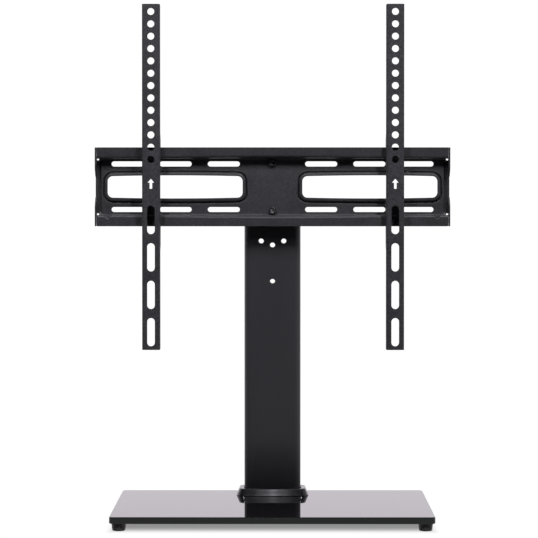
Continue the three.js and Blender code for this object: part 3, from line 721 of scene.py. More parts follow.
def spring_washer(outer, hole, thickness):
    """A split lock washer: a square-wire ring with a slanting gap."""
    steps = 46
    rings = []
    for k in range(steps + 1):
        t = math.radians(8 + 344 * k / steps)
        c, s = math.cos(t), math.sin(t)
        e = 0.12
        section = [
            (hole / 2 + e, 0.02), (outer / 2 - e, 0.02), (outer / 2, 0.02 + e), (outer / 2, thickness - 0.02 - e),
            (outer / 2 - e, thickness - 0.02), (hole / 2 + e, thickness - 0.02), (hole / 2, thickness - 0.02 - e), (hole / 2, 0.02 + e),
        ]
        lean = 0.09 if k == 0 else (-0.09 if k == steps else 0.0)
        ring = []
        for r, z in section:
            a = t + lean * (z / thickness - 0.5) * 2
            ring.append((r * math.cos(a), r * math.sin(a), z))
        rings.append(np.array(ring))
    first, last = rings[0].mean(0)[None], rings[-1].mean(0)[None]
    co, faces = loft([first] + rings + [last])
    return co, [f[::-1] for f in faces]


for i, (x, y) in enumerate(bolts, 1):
    make(f"base_screw_{i}_shown", moved(spun(base_screw, 17.0 * i), x, y, 2.4), zinc_steel, "stand", [f"base_screw_{i}"])
    make(
        f"base_washer_{i}_shown",
        moved(spun(spring_washer(11.5, 6.5, 1.0), 70.0 * i), x, y, 5.0),
        zinc_steel,
        "stand",
        [f"base_washer_{i}"],
    )

# ---------------------------------------------------------------- column

COLUMN = {"w": 70.0, "d": 30.0, "r": 8.4, "wall": 2.0, "bottom": 22.0, "top": 445.0}


def column_part():
    w, d, r = COLUMN["w"] / 2, COLUMN["d"] / 2, COLUMN["r"]
    arc = r * math.pi / 2
    legs = [d - r, arc, 2 * (w - r), arc, 2 * (d - r), arc, 2 * (w - r), arc, d - r]
    ends = np.concatenate([[0], np.cumsum(legs)])
    total = ends[-1]

    def at(u, depth):
        x, y = np.zeros(len(u)), np.zeros(len(u))
        centres = [(-w + r, -d + r, 180), (w - r, -d + r, -90), (w - r, d - r, 0), (-w + r, d - r, 90)]
        flats = [
            (lambda s: (-w + depth, -s)),
            (lambda s: (-(w - r) + s, -d + depth)),
            (lambda s: (w - depth, -(d - r) + s)),
            (lambda s: ((w - r) - s, d - depth)),
            (lambda s: (-w + depth, (d - r) - s)),
        ]
        for k in range(9):
            m = (u >= ends[k]) & (u <= ends[k + 1]) if k == 8 else (u >= ends[k]) & (u < ends[k + 1])
            m |= (u < 0) if k == 0 else False
            s = u - ends[k]
            if k % 2 == 0:
                fx, fy = flats[k // 2](s)
                fx, fy = np.broadcast_to(fx, u.shape), np.broadcast_to(fy, u.shape)
            else:
                cx, cy, a0 = centres[(k - 1) // 2]
                t = np.radians(a0 + 90 * s / arc)
                fx, fy = cx + (r - depth) * np.cos(t), cy + (r - depth) * np.sin(t)
            x, y = np.where(m, fx, x), np.where(m, fy, y)
        return x, y + COLUMN_Y

    def place(uv, depth):
        x, y = at(np.clip(uv[:, 0], 0, total), depth)
        return np.stack([x, y, uv[:, 1]], 1)

    front = ends[2] + (w - r)
    back = ends[6] + (w - r)
    spots = [(0, 401.85 + 29.9), (0, 401.85 - 29.9), (-14.1, 334.3), (14.1, 334.3), (0, 329.3), (0, 284.0)]
    sizes = [4.0, 4.0, 3.2, 3.2, 3.2, 3.2]
    holes = [circle(front + x, z, r_, 40) for (x, z), r_ in zip(spots, sizes)]
    holes += [circle(back - x, z, r_, 40) for (x, z), r_ in zip(spots, sizes)]
    holes = [h[::-1] for h in holes]

    edge, steps = 0.35, 3
    z0, z1, T = COLUMN["bottom"], COLUMN["top"], COLUMN["wall"]
    us = []
    for k in range(9):
        n = 12 if k % 2 else max(1, int(legs[k] / 6))
        us += [ends[k] + legs[k] * j / n for j in range(n)]
    us = np.array(us + [total])
    zs = np.arange(z0 + edge, z1 - edge, 8.0)
    zs = np.append(zs, z1 - edge)
    bottom = [(u, zs[0]) for u in us]
    right = [(total, z) for z in zs[1:-1]]
    top = [(u, zs[-1]) for u in us[::-1]]
    left = [(0.0, z) for z in zs[1:-1][::-1]]
    outer = np.array(bottom + right + top + left)
    tops = [outer] + [offset(h, edge) for h in holes]
    points = np.vstack(tops)
    edges, base, start = [], [], 0
    for l in tops:
        ids = np.arange(start, start + len(l))
        edges += list(zip(ids.tolist(), np.roll(ids, -1).tolist()))
        base.append(ids)
        start += len(l)
    extra = np.array([(u, z) for u in us[1:-1] for z in zs[1:-1]])
    extra = np.vstack([extra] + [circle(h[:, 0].mean(), h[:, 1].mean(), 6.2, 24) for h in holes])
    extra = extra[within(extra, tops)]
    extra = extra[clearance(extra, tops) > 0.9]
    points = np.vstack([points, extra])
    verts, _, tris, origin, _, _ = delaunay_2d_cdt([Vector(p) for p in points.tolist()], edges, [], 0, 1e-7, True)
    flat = np.array([tuple(v) for v in verts])
    where = {s: i for i, sources in enumerate(origin) for s in sources}
    tris = np.array([t for t in tris if len(t) == 3])
    tris = tris[within(flat[tris].mean(1), tops)]
    p = flat[tris]
    turn = (p[:, 1, 0] - p[:, 0, 0]) * (p[:, 2, 1] - p[:, 0, 1]) - (p[:, 1, 1] - p[:, 0, 1]) * (p[:, 2, 0] - p[:, 0, 0])
    tris, turn = tris[np.abs(turn) > 1e-9], turn[np.abs(turn) > 1e-9]
    tris[turn < 0] = tris[turn < 0][:, ::-1]
    n = len(flat)
    co = [place(flat, np.zeros(n)), place(flat, np.full(n, T))]
    faces = [tuple(t) for t in tris.tolist()] + [(c + n, b + n, a + n) for a, b, c in tris.tolist()]
    start = 2 * n
    rim = []
    for k in range(1, steps + 1):
        t = math.pi / 2 * k / steps
        rim.append((edge * (1 - math.sin(t)), edge * (1 - math.cos(t))))
    rim = rim + [(o, T - dd) for o, dd in reversed(rim)]
    for h, ids in zip(holes, base[1:]):
        f = np.array([where[i] for i in ids.tolist()])
        rings = [f]
        for off, depth in rim:
            co.append(place(offset(h, off), np.full(len(h), depth)))
            rings.append(np.arange(start, start + len(h)))
            start += len(h)
        rings.append(f + n)
        for a, b in zip(rings, rings[1:]):
            faces += [tuple(q) for q in np.stack([a, b, np.roll(b, -1), np.roll(a, -1)], 1).tolist()]
    # the tube's two ends, as open strips whose first and last points meet at the seam
    count = len(us)
    for sign, ids in ((-1, base[0][:count]), (1, base[0][count + len(zs) - 2 : 2 * count + len(zs) - 2])):
        f = np.array([where[i] for i in ids.tolist()])
        u = points[ids][:, 0]
        z = zs[0] if sign < 0 else zs[-1]
        rings = [f]
        for off, depth in rim:
            uv = np.stack([u, np.full(len(u), z + sign * (edge - off))], 1)
            co.append(place(uv, np.full(len(u), depth)))
            rings.append(np.arange(start, start + len(u)))
            start += len(u)
        rings.append(f + n)
        for a, b in zip(rings, rings[1:]):
            faces += [tuple(q) for q in np.stack([a[:-1], b[:-1], b[1:], a[1:]], 1).tolist()]
    co = np.vstack(co)
    # weld the seam
    keys, index, remap = {}, [], np.zeros(len(co), int)
    for i, c in enumerate(np.round(co, 4).tolist()):
        key = tuple(c)
        if key not in keys:
            keys[key] = len(index)
            index.append(i)
        remap[i] = keys[key]
    faces = [tuple(int(remap[i]) for i in f) for f in faces]
    faces = [f for f in faces if len(set(f)) == len(f)]
    return co[index], faces


make("column_tube_shown", column_part(), column_paint, "stand", ["column_tube"])

cap_rings = [np.array([[0, COLUMN_Y, 447.0]])]
for inset, z in ((6.0, 447.0), (3.0, 447.08), (1.4, 447.2), (0.8, 447.16), (0.35, 446.98), (0.08, 446.7), (0.0, 446.35), (0.0, 445.25), (0.12, 445.05), (0.5, 445.0)):
    cap_rings.append(box_ring(69.6 - 2 * inset, 29.6 - 2 * inset, max(8.2 - inset, 0.9), z, 0, COLUMN_Y))
for inset, z in ((2.0, 445.0), (2.0, 437.6), (2.2, 437.2), (2.6, 437.0), (3.6, 437.0), (4.0, 437.2), (4.1, 444.6), (4.6, 445.0)):
    cap_rings.append(box_ring(69.6 - 2 * inset, 29.6 - 2 * inset, max(8.2 - inset, 0.9), z, 0, COLUMN_Y))
cap_rings.append(np.array([[0, COLUMN_Y, 445.0]]))
co, faces = loft(cap_rings)
make("column_cap_shown", (co, [f[::-1] for f in faces]), cap_plastic, "stand", ["column_cap"])

# Trim collar: convex sloping sides, a rounded shoulder and a flat rim around the tube.
collar_profile = [
    (89.0, 44.0, 10.0, 17.35), (88.9, 43.9, 9.95, 17.15), (88.4, 43.4, 9.7, 17.0),
    (84.0, 41.0, 7.0, 17.0), (83.4, 40.6, 6.8, 17.3), (83.0, 40.4, 6.6, 21.5),
    (79.4, 37.4, 4.7, 22.6), (79.0, 37.0, 4.6, 22.9), (78.6, 36.6, 4.5, 23.6),
    (72.0, 31.4, 7.4, 24.0), (71.0, 31.0, 7.4, 24.3), (70.8, 30.8, 7.4, 25.3),
    (71.1, 31.1, 7.55, 25.62), (71.8, 31.8, 7.9, 25.74), (76.0, 34.6, 7.4, 25.78),
    (79.6, 36.6, 6.9, 25.72), (80.7, 37.5, 6.9, 25.5), (81.6, 38.3, 7.1, 25.1),
    (82.3, 38.9, 7.35, 24.5), (83.8, 40.1, 8.0, 22.8), (85.3, 41.3, 8.6, 21.0),
    (86.9, 42.5, 9.25, 19.3), (88.3, 43.5, 9.8, 17.9), (88.8, 43.85, 9.95, 17.6),
]
collar_rings = [
    box_ring(w, d, r, z, 0, COLUMN_Y, 12, 24, 8, 1.6 if w > 79.5 and r not in (6.6, 6.8) else 0.0)
    for w, d, r, z in ((w + 0.7, d, r, 17 + (z - 17) * 1.06) if w > 79.5 else (w, d, r, z) for w, d, r, z in reversed(collar_profile))
]
co, faces = loft(collar_rings, closed=True)
make("base_collar_shown", (co, [f[::-1] for f in faces]), trim_plastic, "stand", ["base_collar"])

# ---------------------------------------------------------------- mount plate

PLATE_Z = 401.85
HALF = 48.85
WEB_Y, LIP_Y = 62.0, 51.0
VA, VB, VC, VD, VE = 33.2, 35.4, 41.6, 48.6, 56.6
R1, R2 = 1.4, 3.3
END_U, END_R, END_A = 216.5, 1.5, 2.0
WINDOW = {"x": 120.8, "w": 83.75, "half": 13.3, "bow": 0.95, "r": 6.5}


def swell(x):
    """The barrel bow of the long bends: one in the middle, none at the ends."""
    return np.where(np.abs(x) < 190, np.cos(np.clip(x / 190, -1, 1) * math.pi / 2) ** 2, 0.0)


def window_distance(x, z):
    """Distance outwards from the nearest window's edge."""
    px = np.abs(np.abs(x) - WINDOW["x"])
    flat = WINDOW["w"] - WINDOW["r"]
    half = WINDOW["half"] + WINDOW["bow"] * np.maximum(0, 1 - (px / flat) ** 2)
    qx, qz = px - flat, np.abs(z) - (half - WINDOW["r"])
    return (
        np.hypot(np.maximum(qx, 0), np.maximum(qz, 0)) + np.minimum(np.maximum(qx, qz), 0) - WINDOW["r"]
    )


RIM_D = np.array([-1.0, 0.0, 0.5, 1.0, 1.5, 2.0, 2.5, 3.0, 3.3, 3.6, 3.9, 4.2, 4.5, 4.8, 5.1, 5.4, 5.7, 6.1, 6.6, 7.3])
RIM_Y = np.array([2.3, 2.36, 2.42, 2.38, 2.3, 2.2, 2.06, 1.82, 1.42, 0.74, -0.06, -0.75, -1.12, -1.12, -0.8, -0.38, -0.04, 0.12, 0.1, 0.0])
RIM_RINGS = (0.55, 1.0, 1.5, 2.0, 2.5, 3.0, 3.3, 3.6, 3.9, 4.2, 4.5, 4.8, 5.1, 5.4, 5.7, 6.1, 6.6, 7.3)


def press(x, z):
    """How far the web is pressed forwards at a point: the windows' rims, and the end shoulders."""
    d = window_distance(x, z) * (1 - 0.16 * np.clip(-z / 12, 0, 1))
    out = np.interp(d, RIM_D, RIM_Y)
    beside = np.clip((np.abs(np.abs(x) - WINDOW["x"]) - WINDOW["w"] + 2) / 4, 0, 1)
    out = np.where(out < 0, out * (1 + 1.3 * beside), out)
    a = np.abs(x)
    out = out + np.interp(a, [210.6, 211.6, 212.6, 213.6, 214.4, 215.2, 216.2], [0, 0.15, -0.2, -1.9, -2.7, -1.9, 0.0])
    # the web between the bends is very slightly crowned
    crown = np.clip((29.5 - np.abs(z)) / 14.0, 0, 1)
    return out + 0.55 * crown * crown * (3 - 2 * crown) * np.clip((212 - a) / 12.0, 0, 1)


def section(x, v):
    """Front point and front normal, in Y and in Z from the plate's middle, of the upper half."""
    web = 35.0 - 0.5 * swell(x)
    lip = 34.8 + 2.1 * swell(x)
    dy, dz = LIP_Y - WEB_Y, lip - web
    run = np.hypot(dy, dz)
    fy, fz = dy / run, dz / run
    phi = np.arccos(np.clip(fz, -1, 1))
    t1, t2 = R1 * np.tan(phi / 2), R2 * np.tan(phi / 2)
    y, z = np.full(len(v), WEB_Y), v.copy()
    ny, nz = np.full(len(v), -1.0), np.zeros(len(v))
    z = np.where(v > 31.95, 31.95 + (v - 31.95) / (VA - 31.95) * (web - t1 - 31.95), z)
    s = np.clip((v - VA) / (VB - VA), 0, 1) * phi
    m = (v > VA) & (v <= VB)
    y, z = np.where(m, WEB_Y - R1 + R1 * np.cos(s), y), np.where(m, web - t1 + R1 * np.sin(s), z)
    ny, nz = np.where(m, -np.cos(s), ny), np.where(m, -np.sin(s), nz)
    f = np.clip((v - VB) / (VC - VB), 0, 1)
    y1, z1 = WEB_Y + fy * t1, web + fz * t1
    y2, z2 = LIP_Y - fy * t2, lip - fz * t2
    m = (v > VB) & (v <= VC)
    y, z = np.where(m, y1 + (y2 - y1) * f, y), np.where(m, z1 + (z2 - z1) * f, z)
    ny, nz = np.where(m, -np.cos(phi), ny), np.where(m, -np.sin(phi), nz)
    s = (1 - np.clip((v - VC) / (VD - VC), 0, 1)) * phi
    m = (v > VC) & (v <= VD)
    y, z = np.where(m, LIP_Y + R2 - R2 * np.cos(s), y), np.where(m, lip + t2 - R2 * np.sin(s), z)
    ny, nz = np.where(m, -np.cos(s), ny), np.where(m, -np.sin(s), nz)
    f = (v - VD) / (VE - VD)
    m = v > VD
    y, z = np.where(m, LIP_Y, y), np.where(m, lip + t2 + (HALF - lip - t2) * f, z)
    ny, nz = np.where(m, -1.0, ny), np.where(m, 0.0, nz)
    return y, z, ny, nz


def place_plate(uv, depth):
    u, v = uv[:, 0], uv[:, 1]
    au, av, su, sv = np.abs(u), np.abs(v), np.where(u < 0, -1.0, 1.0), np.where(v < 0, -1.0, 1.0)
    y, z, ny, nz = section(u, av)
    # stop dimples: small pockets where the lower bend dips in a V
    low = np.where(v < 0, 1.0, 0.0)
    dip = np.clip(1.15 - 1.15 * np.abs(au - 203.6) / 3.9, 0, 1) * np.interp(av, [VB + 0.4, VC - 1.0, VD - 1.0, VD + 4.8], [0, 1, 1, 0])
    slot = np.interp(np.abs(au - 203.6), [0, 0.7, 1.4], [1, 0.9, 0]) * np.clip(1.5 - np.abs(av - 43.4) / 1.5, 0, 1)
    z = z + 3.1 * dip * low
    y = y + 2.6 * slot * low
    y = y - press(u, np.where(av < 33, v, 99.0)) * np.where(av < VA, 1.0, 0.0) * np.clip((33.2 - av) / 1.6, 0, 1)
    y = y + np.where(v < 0, 0.6, -0.8) * np.clip((av - VD + 1.5) / (VE - VD + 1.5), 0, 1)
    px, py, pz = u, y - ny * depth, z - nz * depth
    end = (au > END_U) & ((av < 34.3) | (au > 217.9))
    t = np.clip((au - END_U) / END_A, 0, 1) * math.pi / 2
    ex = END_U + (END_R + depth) * np.sin(t)
    ey = WEB_Y - END_R + (END_R + depth) * np.cos(t) - np.maximum(0, au - END_U - END_A)
    return np.stack([np.where(end, su * ex, px), np.where(end, ey, py), PLATE_Z + sv * np.where(end, av, pz)], 1)


def plate_quadrant():
    """The blank's outline from the right end's middle up, around the relief hole, to the top lip's end."""
    q = [(218.07, 12.5, 1.5), (228.0, 23.0, 1.0), (228.0, 48.85, 0.6), (226.0, 48.85, 0.3), (224.0, 44.85, 1.0), (218.2, 37.6, 0.2), (218.0, 36.2)]
    a0, a1 = 44.0, 50.0 - 360
    for k in range(25):
        t = math.radians(a0 + (a1 - a0) * k / 24)
        q.append((216.5 + 1.2 * math.cos(t), 33.95 + 1.2 * math.sin(t)))
    q.append((217.8, VE, 0.7))
    return q


def mount_plate_part():
    q = plate_quadrant()
    flip = lambda pts, sx, sy: [(p[0] * sx, p[1] * sy) + tuple(p[2:]) for p in pts]
    outline = q + flip(q, -1, 1)[::-1] + flip(q, -1, -1) + flip(q, 1, -1)[::-1]
    outline = dense(rounded(outline, 0.0, 4), 1.1)
    holes = []
    for side in (-1, 1):
        for z, high in ((-28.1, 6.15), (28.5, 6.4)):
            for x in (60.45, 120.3, 180.0):
                holes.append(dense(oval(side * x, z, 39.8, high, 14), 5.0))
        w, r = WINDOW["w"], WINDOW["r"]
        right = []
        for k in range(17):
            t = math.pi / 2 * k / 16
            right.append((w - r + r * math.cos(t), WINDOW["half"] - r + r * math.sin(t)))
        edge_x = np.linspace(w - r, -(w - r), 62)[1:-1]
        topline = [(x, WINDOW["half"] + WINDOW["bow"] * (1 - (x / (w - r)) ** 2)) for x in edge_x]
        left = [(-x, z) for x, z in right[::-1]]
        upper = right + topline + left
        sides = [(-w, z) for z in np.linspace(5.0, -5.0, 6)]
        loop = upper + sides + [(-x, -z) for x, z in upper] + [(w, z) for z in np.linspace(-5.0, 5.0, 6)]
        holes.append(np.array(loop) + np.array([side * WINDOW["x"], 0]))
    for row in (-1, 1):
        holes.append(circle(0, row * 29.9, 3.3, 32))
    extra = []
    us = list(np.arange(-216, 216.1, 4.0))
    for u in us:
        extra += [(u, v) for v in np.arange(-30, 30.1, 5.0)]
    rows = list(np.linspace(31.9, VA, 3)) + list(np.linspace(VA, VB, 6))[1:] + [37.4, 39.5]
    rows += list(np.linspace(VC, VD, 11)) + [50.6, 52.6, 54.6]
    for u in np.arange(-217, 217.1, 3.5):
        extra += [(u, s * v) for v in rows for s in (-1, 1)]
    for s in (-1, 1):
        for u in (210.6, 211.1, 211.6, 212.1, 212.6, 213.1, 213.6, 214.0, 214.4, 214.8, 215.2, 215.7, 216.2, 216.5, 216.85, 217.2, 217.55, 217.9):
            extra += [(s * u, v) for v in np.arange(-30.8, 30.9, 2.2)]
        for u in (218.25, 218.5, 220.5, 223.0, 225.5):
            extra += [(s * u, t * v) for v in np.arange(13.5, 48, 2.2) for t in (-1, 1)]
        for u in np.arange(199.3, 208.0, 0.36):
            extra += [(s * u, -v) for v in np.arange(VB + 0.6, VD + 4.9, 0.45)]
        # rings round each window that follow its rim
        flat = WINDOW["w"] - WINDOW["r"]
        for d in RIM_RINGS:
            r = WINDOW["r"] + d
            ring = []
            for k in range(11):
                t = math.pi / 2 * k / 10
                ring.append((flat + r * math.cos(t), WINDOW["half"] - WINDOW["r"] + r * math.sin(t)))
            ring += [(x, WINDOW["half"] + d + WINDOW["bow"] * (1 - (x / flat) ** 2)) for x in np.linspace(flat, 0, 23)[1:]]
            ring += [(WINDOW["w"] + d, z) for z in (0.0, 3.5)]
            for sx in (-1, 1):
                for sz in (-1, 1):
                    extra += [(s * WINDOW["x"] + sx * x, sz * z) for x, z in ring]
    extra = np.unique(np.round(np.array(extra), 4), axis=0)
    # grid points near a rim's rings give way to them
    d = window_distance(extra[:, 0], extra[:, 1])
    on_ring = np.zeros(len(extra), bool)
    for r in RIM_RINGS:
        on_ring |= np.abs(d - r) < 0.012
    extra = extra[(d > 8.1) | on_ring]
    return sheet(place_plate, outline, holes, 2.0, extra, edge=0.3, steps=3, clear=0.22)


make("mount_plate_shown", mount_plate_part(), plate_coat, "stand", ["mount_plate"])

# Plate screws, spacers, rear washers and nuts, on axes along Y.
plate_screw = turned(
    [(0, 2.9), (2.5, 1.8, "hex"), (2.5, 0.35, "hex"), (2.85, 0.02, "hex"), (3.4, 0.0), (3.9, 0.06), (4.35, 0.32)]
    + [(4.62, 0.75), (4.7, 1.3), (4.7, 2.9), (4.6, 3.28), (4.3, 3.4), (3.2, 3.4), (3.0, 3.6), (3.0, 30.0)]
    + threads(3.0, 30.0, 47.0)
    + [(3.0, 47.3), (2.35, 48.2), (0, 48.2)],
    HEX_ANGLES,
)
nut = turned(
    [(2.6, 0.45), (3.1, 0.0), (4.7, 0.0, 5.0), (5.3, 0.28, 5.0), (5.78, 0.62, 5.0), (5.78, 4.38, 5.0), (5.3, 4.72, 5.0), (4.7, 5.0, 5.0), (3.1, 5.0), (2.6, 4.55)]
    + [(2.62, 4.2)] + [(3.02 if k % 2 else 2.62, 4.2 - 0.4 * k) for k in range(1, 9)],
    HEX_ANGLES,
    closed=True,
)
for which, z, turn in (("upper", PLATE_Z + 29.9, 11.0), ("lower", PLATE_Z - 29.9, 33.0)):
    head = moved(spun(plate_screw, turn), 0, 58.58, z, "y")
    # Of the two like screws, only the lower, lit one gets a bare-zinc recess that glints, and the upper one, in shade,
    # stays black: a painted highlight and painted shade.
    glint_recess = np.zeros(len(head[1]), int)
    glint_recess[: 3 * len(HEX_ANGLES)] = 1 if which == "lower" else 0
    make(f"plate_screw_{which}_shown", head + (glint_recess,), [black_screw, zinc_steel], "stand", [f"plate_screw_{which}"])
    make(f"plate_spacer_{which}_shown", moved(washer(16.0, 6.5, 3.96, 0.4), 0, 64.02, z, "y"), cap_plastic, "stand", [f"plate_spacer_{which}"])
    make(f"rear_washer_{which}_shown", moved(washer(14.0, 6.5, 1.4, 0.22), 0, 98.02, z, "y"), zinc_steel, "stand", [f"rear_washer_{which}"])
    make(f"rear_nut_{which}_shown", moved(spun(nut, turn + 20), 0, 99.44, z, "y"), zinc_steel, "stand", [f"rear_nut_{which}"])

# ---------------------------------------------------------------- arms

ARM = {"left": -149.6, "right": 151.2, "top": 626.8, "bottom": 200.8, "y": 36.5, "r": 2.4, "flat": 8.6, "arc": 3.2}


def arm_part(cx, inner):
    flat, r, arc = ARM["flat"], ARM["r"], ARM["arc"]
    cy = ARM["y"] + r

    def place(uv, depth):
        u, v = uv[:, 0], uv[:, 1]
        au, s = np.abs(u), np.where(u < 0, -1.0, 1.0)
        t = np.clip((au - flat) / arc, 0, 1) * math.pi / 2
        x = np.minimum(au, flat) + (r - depth) * np.sin(t)
        y = cy - (r - depth) * np.cos(t) + np.maximum(0, au - flat - arc)
        return np.stack([cx + s * x, y, v], 1)

    def U(y):
        return flat + arc + (y - cy)

    b, t = ARM["bottom"], ARM["top"]
    side = [
        (11.2, b, 0.5), (11.8, b + 0.3, 0.3), (U(49.5), b + 0.5, 1.0), (U(49.5), 322.0, 3.0), (U(58.0), 330.0, 2.0),
        (U(58.0), 356.0, 1.3), (U(54.2), 356.0, 1.3), (U(54.2), 345.0, 0.8), (U(50.4), 345.0, 0.8), (U(50.4), 451.0, 0.7),
        (U(53.8), 451.0, 0.7), (U(53.8), 443.5, 1.0), (U(58.5), 443.5, 1.4), (U(58.5), 461.0, 2.5), (U(49.5), 469.0, 3.0),
        (U(49.5), t - 0.5, 1.0), (11.8, t - 0.3, 0.3), (11.2, t, 0.5),
    ]
    outline = side + [(-p[0], p[1], p[2]) for p in side[::-1]]
    outline = dense(rounded(outline, 0.5, 6), 3.0)
    holes = [circle(0, t - 9.5 - 15.16 * i, 4.3, 44) for i in range(13)]
    holes += [dense(oval(0, z, 34.8, -9.4, 18), 4.0) for z in (361.0, 315.0, 268.7, 222.8)]
    arrow = [(-1.6, 399.4), (1.6, 399.4), (1.6, 406.9), (4.1, 406.9), (0, 411.7), (-4.1, 406.9), (-1.6, 406.9)]
    holes.append(dense(rounded(arrow, 0.3, 4), 1.0))
    extra = []
    cols = [flat + arc * k / 8 for k in range(9)]
    for v in np.arange(b + 1.6, t - 1.5, 3.6):
        extra += [(s * u, v) for u in cols for s in (-1, 1)]
        extra += [(s * u, v) for u in (6.6, 14.5, 19.0) for s in (-1, 1)]
    shell = sheet(place, outline, holes, 2.0, extra, edge=0.28, steps=3, clear=0.3)

    # lock screw tab, lanced inwards from the inner flange
    x0, x1 = sorted((inner * 9.3, inner * 3.2))
    tab_outline = dense(rounded([(x0, 45.0), (x1, 45.0), (x1, 57.2), (x0, 57.2)], 1.0, 5), 2.0)
    tab = sheet(
        lambda uv, depth: np.stack([cx + uv[:, 0], uv[:, 1], 337.5 - depth], 1),
        tab_outline,
        [circle(inner * 6.9, 52.0, 2.15, 28)],
        2.5,
        edge=0.25,
        steps=2,
    )
    return combine((shell[0], shell[1]), (tab[0], tab[1]))


lock_screw = turned(
    [(0, 2.0), (1.1, 1.9, "hex"), (1.1, 0.25, "hex"), (1.25, 0.02, "hex"), (1.6, 0.0), (1.85, 0.08), (2.0, 0.35)]
    + threads(2.0, 0.4, 20.0, 0.7, 0.3)
    + [(2.0, 20.1), (1.2, 21.0), (0, 21.0)],
    HEX_ANGLES,
)
for name, side in (("left", -1), ("right", 1)):
    cx = ARM[name]
    make(f"arm_{name}_shown", arm_part(cx, -side)[:2], arm_coat, f"arm_{name}", [f"arm_{name}"])
    make(
        f"lock_screw_{name}_shown",
        moved(spun(lock_screw, 14.0), cx - side * 6.9, 52.0, 331.6),
        black_screw,
        f"lock_screw_{name}",
        [f"lock_screw_{name}"],
    )

# ---------------------------------------------------------------- floor, background and lights

floor_mesh = bpy.data.meshes.new("floor")
floor_mesh.from_pydata([(-9, -9, -0.0001), (9, -9, -0.0001), (9, 9, -0.0001), (-9, 9, -0.0001)], [], [(0, 1, 2, 3)])
floor_mesh.update()
floor = bpy.data.objects.new("floor", floor_mesh)
scene.collection.objects.link(floor)
# The floor glows evenly white, with a painted contact shadow under and around the glass base.
floor_nodes = Nodes("floor_white_painted_shadow")
floor_axes = floor_nodes.new("ShaderNodeSeparateXYZ")
floor_nodes.link(floor_nodes.coords, floor_axes.inputs[0])
qx = floor_nodes.math("SUBTRACT", floor_nodes.math("ABSOLUTE", floor_axes.outputs[0], 0.0), 0.1875)
qx = floor_nodes.math("MULTIPLY", qx, 2.6)
qy = floor_nodes.math("SUBTRACT", floor_nodes.math("ABSOLUTE", floor_axes.outputs[1], 0.0), 0.1145)
px, py = floor_nodes.math("MAXIMUM", qx, 0.0), floor_nodes.math("MAXIMUM", qy, 0.0)
away = floor_nodes.math("SQRT", floor_nodes.math("ADD", floor_nodes.math("MULTIPLY", px, px), floor_nodes.math("MULTIPLY", py, py)), 0.0)
away = floor_nodes.math("ADD", away, floor_nodes.math("MINIMUM", floor_nodes.math("MAXIMUM", qx, qy), 0.0))
away = floor_nodes.math("ADD", away, -0.0055)
# painted contact shadow, from 65 mm under the glass to 35 mm outside its edge
spot = floor_nodes.math("DIVIDE", floor_nodes.math("ADD", away, 0.065), 0.100)
shade = floor_nodes.ramp(
    spot,
    [
        (0.0, (0.26,) * 3), (0.30, (0.29,) * 3), (0.45, (0.43,) * 3), (0.53, (0.59,) * 3), (0.61, (0.76,) * 3),
        (0.66, (0.85,) * 3), (0.72, (0.92,) * 3), (0.80, (0.97,) * 3), (1.0, (1.0,) * 3),
    ],
)
floor_light = floor_nodes.new("ShaderNodeEmission")
floor_nodes.link(shade, floor_light.inputs["Color"])
floor_light.inputs["Strength"].default_value = 1.03
floor_nodes.link(floor_light.outputs[0], floor_nodes.tree.nodes["Material Output"].inputs["Surface"])
floor_nodes.tree.nodes.remove(floor_nodes.shader)
floor_mesh.materials.append(floor_nodes.material)
floor.visible_glossy = False
floor.visible_diffuse = False
floor.visible_shadow = False


def screen(name, corners, strength=None):
    """A flat panel of the studio that the camera doesn't see: a bright one, or one that only shades."""
    mesh = bpy.data.meshes.new(name)
    mesh.from_pydata(corners, [], [(0, 1, 2, 3)])
    mesh.update()
    obj = bpy.data.objects.new(name, mesh)
    scene.collection.objects.link(obj)
    nodes = Nodes(name)
    if strength is not None:
        light = nodes.new("ShaderNodeEmission")
        light.inputs["Strength"].default_value = strength
        nodes.link(light.outputs[0], nodes.tree.nodes["Material Output"].inputs["Surface"])
        nodes.tree.nodes.remove(nodes.shader)
    mesh.materials.append(nodes.material)
    obj.visible_camera = False
    obj.visible_diffuse = False
    obj.visible_transmission = False
    obj.visible_glossy = strength is not None
    obj.visible_shadow = strength is None
    return obj


# the white table, as the glossy surfaces see it, a bright wall to the right, flags that
# keep the keys off the foot, and one that lengthens the mount plate's shadow on the column
screen("table_front", [(-0.7, -0.45, -0.002), (0.7, -0.45, -0.002), (0.7, -0.125, -0.002), (-0.7, -0.125, -0.002)], 0.50)
screen("table_right", [(0.2, -0.45, -0.002), (1.0, -0.45, -0.002), (1.0, 0.4, -0.002), (0.2, 0.4, -0.002)], 0.60)
screen("table_left", [(-1.0, -0.45, -0.002), (-0.2, -0.45, -0.002), (-0.2, 0.4, -0.002), (-1.0, 0.4, -0.002)], 0.50)
screen("wall_right", [(0.9, -0.6, 0.0), (0.9, 0.5, 0.0), (0.9, 0.5, 0.6), (0.9, -0.6, 0.6)], 0.50)
screen("flag_right", [(0.03, -0.22, 0.20), (0.22, -0.22, 0.20), (0.22, -0.03, 0.20), (0.03, -0.03, 0.20)])
screen("flag_column", [(-0.05, 0.0462, 0.3524), (0.05, 0.0462, 0.3524), (0.05, 0.0512, 0.3524), (-0.05, 0.0512, 0.3524)])
screen("flag_left", [(-0.22, -0.22, 0.20), (-0.03, -0.22, 0.20), (-0.03, -0.03, 0.20), (-0.22, -0.03, 0.20)])

world = bpy.data.worlds.new("studio")
scene.world = world
world.use_nodes = True
wt = world.node_tree
wt.nodes.clear()


def wn(kind, **settings):
    node = wt.nodes.new(kind)
    for key, value in settings.items():
        setattr(node, key, value)
    return node


def wmath(op, a, b=0.0):
    node = wn("ShaderNodeMath", operation=op)
    for socket, v in zip(node.inputs, (a, b)):
        if isinstance(v, (int, float)):
            socket.default_value = v
        else:
            wt.links.new(v, socket)
    return node.outputs[0]


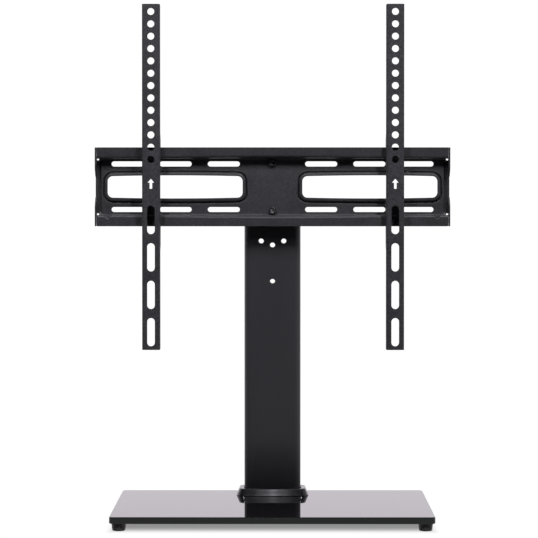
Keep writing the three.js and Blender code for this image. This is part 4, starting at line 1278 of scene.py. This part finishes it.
def wstep(value, a, b, low, high):
    node = wn("ShaderNodeMapRange", interpolation_type="SMOOTHSTEP")
    for key, v in (("From Min", a), ("From Max", b), ("To Min", low), ("To Max", high)):
        node.inputs[key].default_value = v
    wt.links.new(value, node.inputs["Value"])
    return node.outputs["Result"]


axes = wn("ShaderNodeSeparateXYZ")
wt.links.new(wn("ShaderNodeTexCoord").outputs["Generated"], axes.inputs[0])
X, Y, Z = axes.outputs
behind = wstep(Y, -0.15, 0.45, 0.0, 1.12)
right = wstep(X, 0.35, 0.95, 0.0, 0.16)
left = wstep(X, -0.95, -0.35, 0.05, 0.0)
under = wstep(Z, -0.75, -0.05, 0.04, 0.0)
glow = wmath("MAXIMUM", wmath("MAXIMUM", behind, right), wmath("MAXIMUM", left, under))
glow = wmath("MAXIMUM", glow, 0.015)
soft_world = wn("ShaderNodeBackground")
wt.links.new(glow, soft_world.inputs["Strength"])
soft_world.inputs["Color"].default_value = (1.02, 0.97, 1.035, 1)
white_world = wn("ShaderNodeBackground")
white_world.inputs["Color"].default_value = (1, 1, 1, 1)
white_world.inputs["Strength"].default_value = 1.05
pick = wn("ShaderNodeMixShader")
wt.links.new(wn("ShaderNodeLightPath").outputs["Is Camera Ray"], pick.inputs[0])
wt.links.new(soft_world.outputs[0], pick.inputs[1])
wt.links.new(white_world.outputs[0], pick.inputs[2])
wt.links.new(pick.outputs[0], wn("ShaderNodeOutputWorld").inputs[0])


def softbox(name, where, target, width, height, power, spread=180.0):
    """A rectangular softbox that faces a target; a spread under 180 degrees narrows its beam."""
    light = bpy.data.lights.new(name, "AREA")
    light.shape = "RECTANGLE"
    light.size = width
    light.size_y = height
    light.energy = power
    light.spread = math.radians(spread)
    obj = bpy.data.objects.new(name, light)
    obj.location = where
    obj.rotation_euler = (Vector(target) - Vector(where)).to_track_quat("-Z", "Y").to_euler()
    obj.visible_camera = False
    scene.collection.objects.link(obj)
    return obj


softbox("key_right", (0.66, -1.12, 1.96), (0.10, 0.06, 0.62), 0.18, 0.70, 2.75, 52)
softbox("key_left", (-0.66, -1.12, 1.96), (-0.25, 0.06, 0.62), 0.18, 0.70, 2.1, 52)
for level, place in (("low", (0.0, -1.46, 0.96)), ("high", (0.0, -1.13, 1.28))):
    for kind, width, power in (("strip", 0.05, 0.0036 if level == "low" else 0.0027), ("band", 0.30, 0.0085 if level == "low" else 0.0065)):
        light = softbox(f"{kind}_{level}", place, (0.0, 0.06, 0.02), width, 0.36, power, 15)
        light.data.color = (1.0, 0.97, 1.08)
        light.visible_diffuse = False
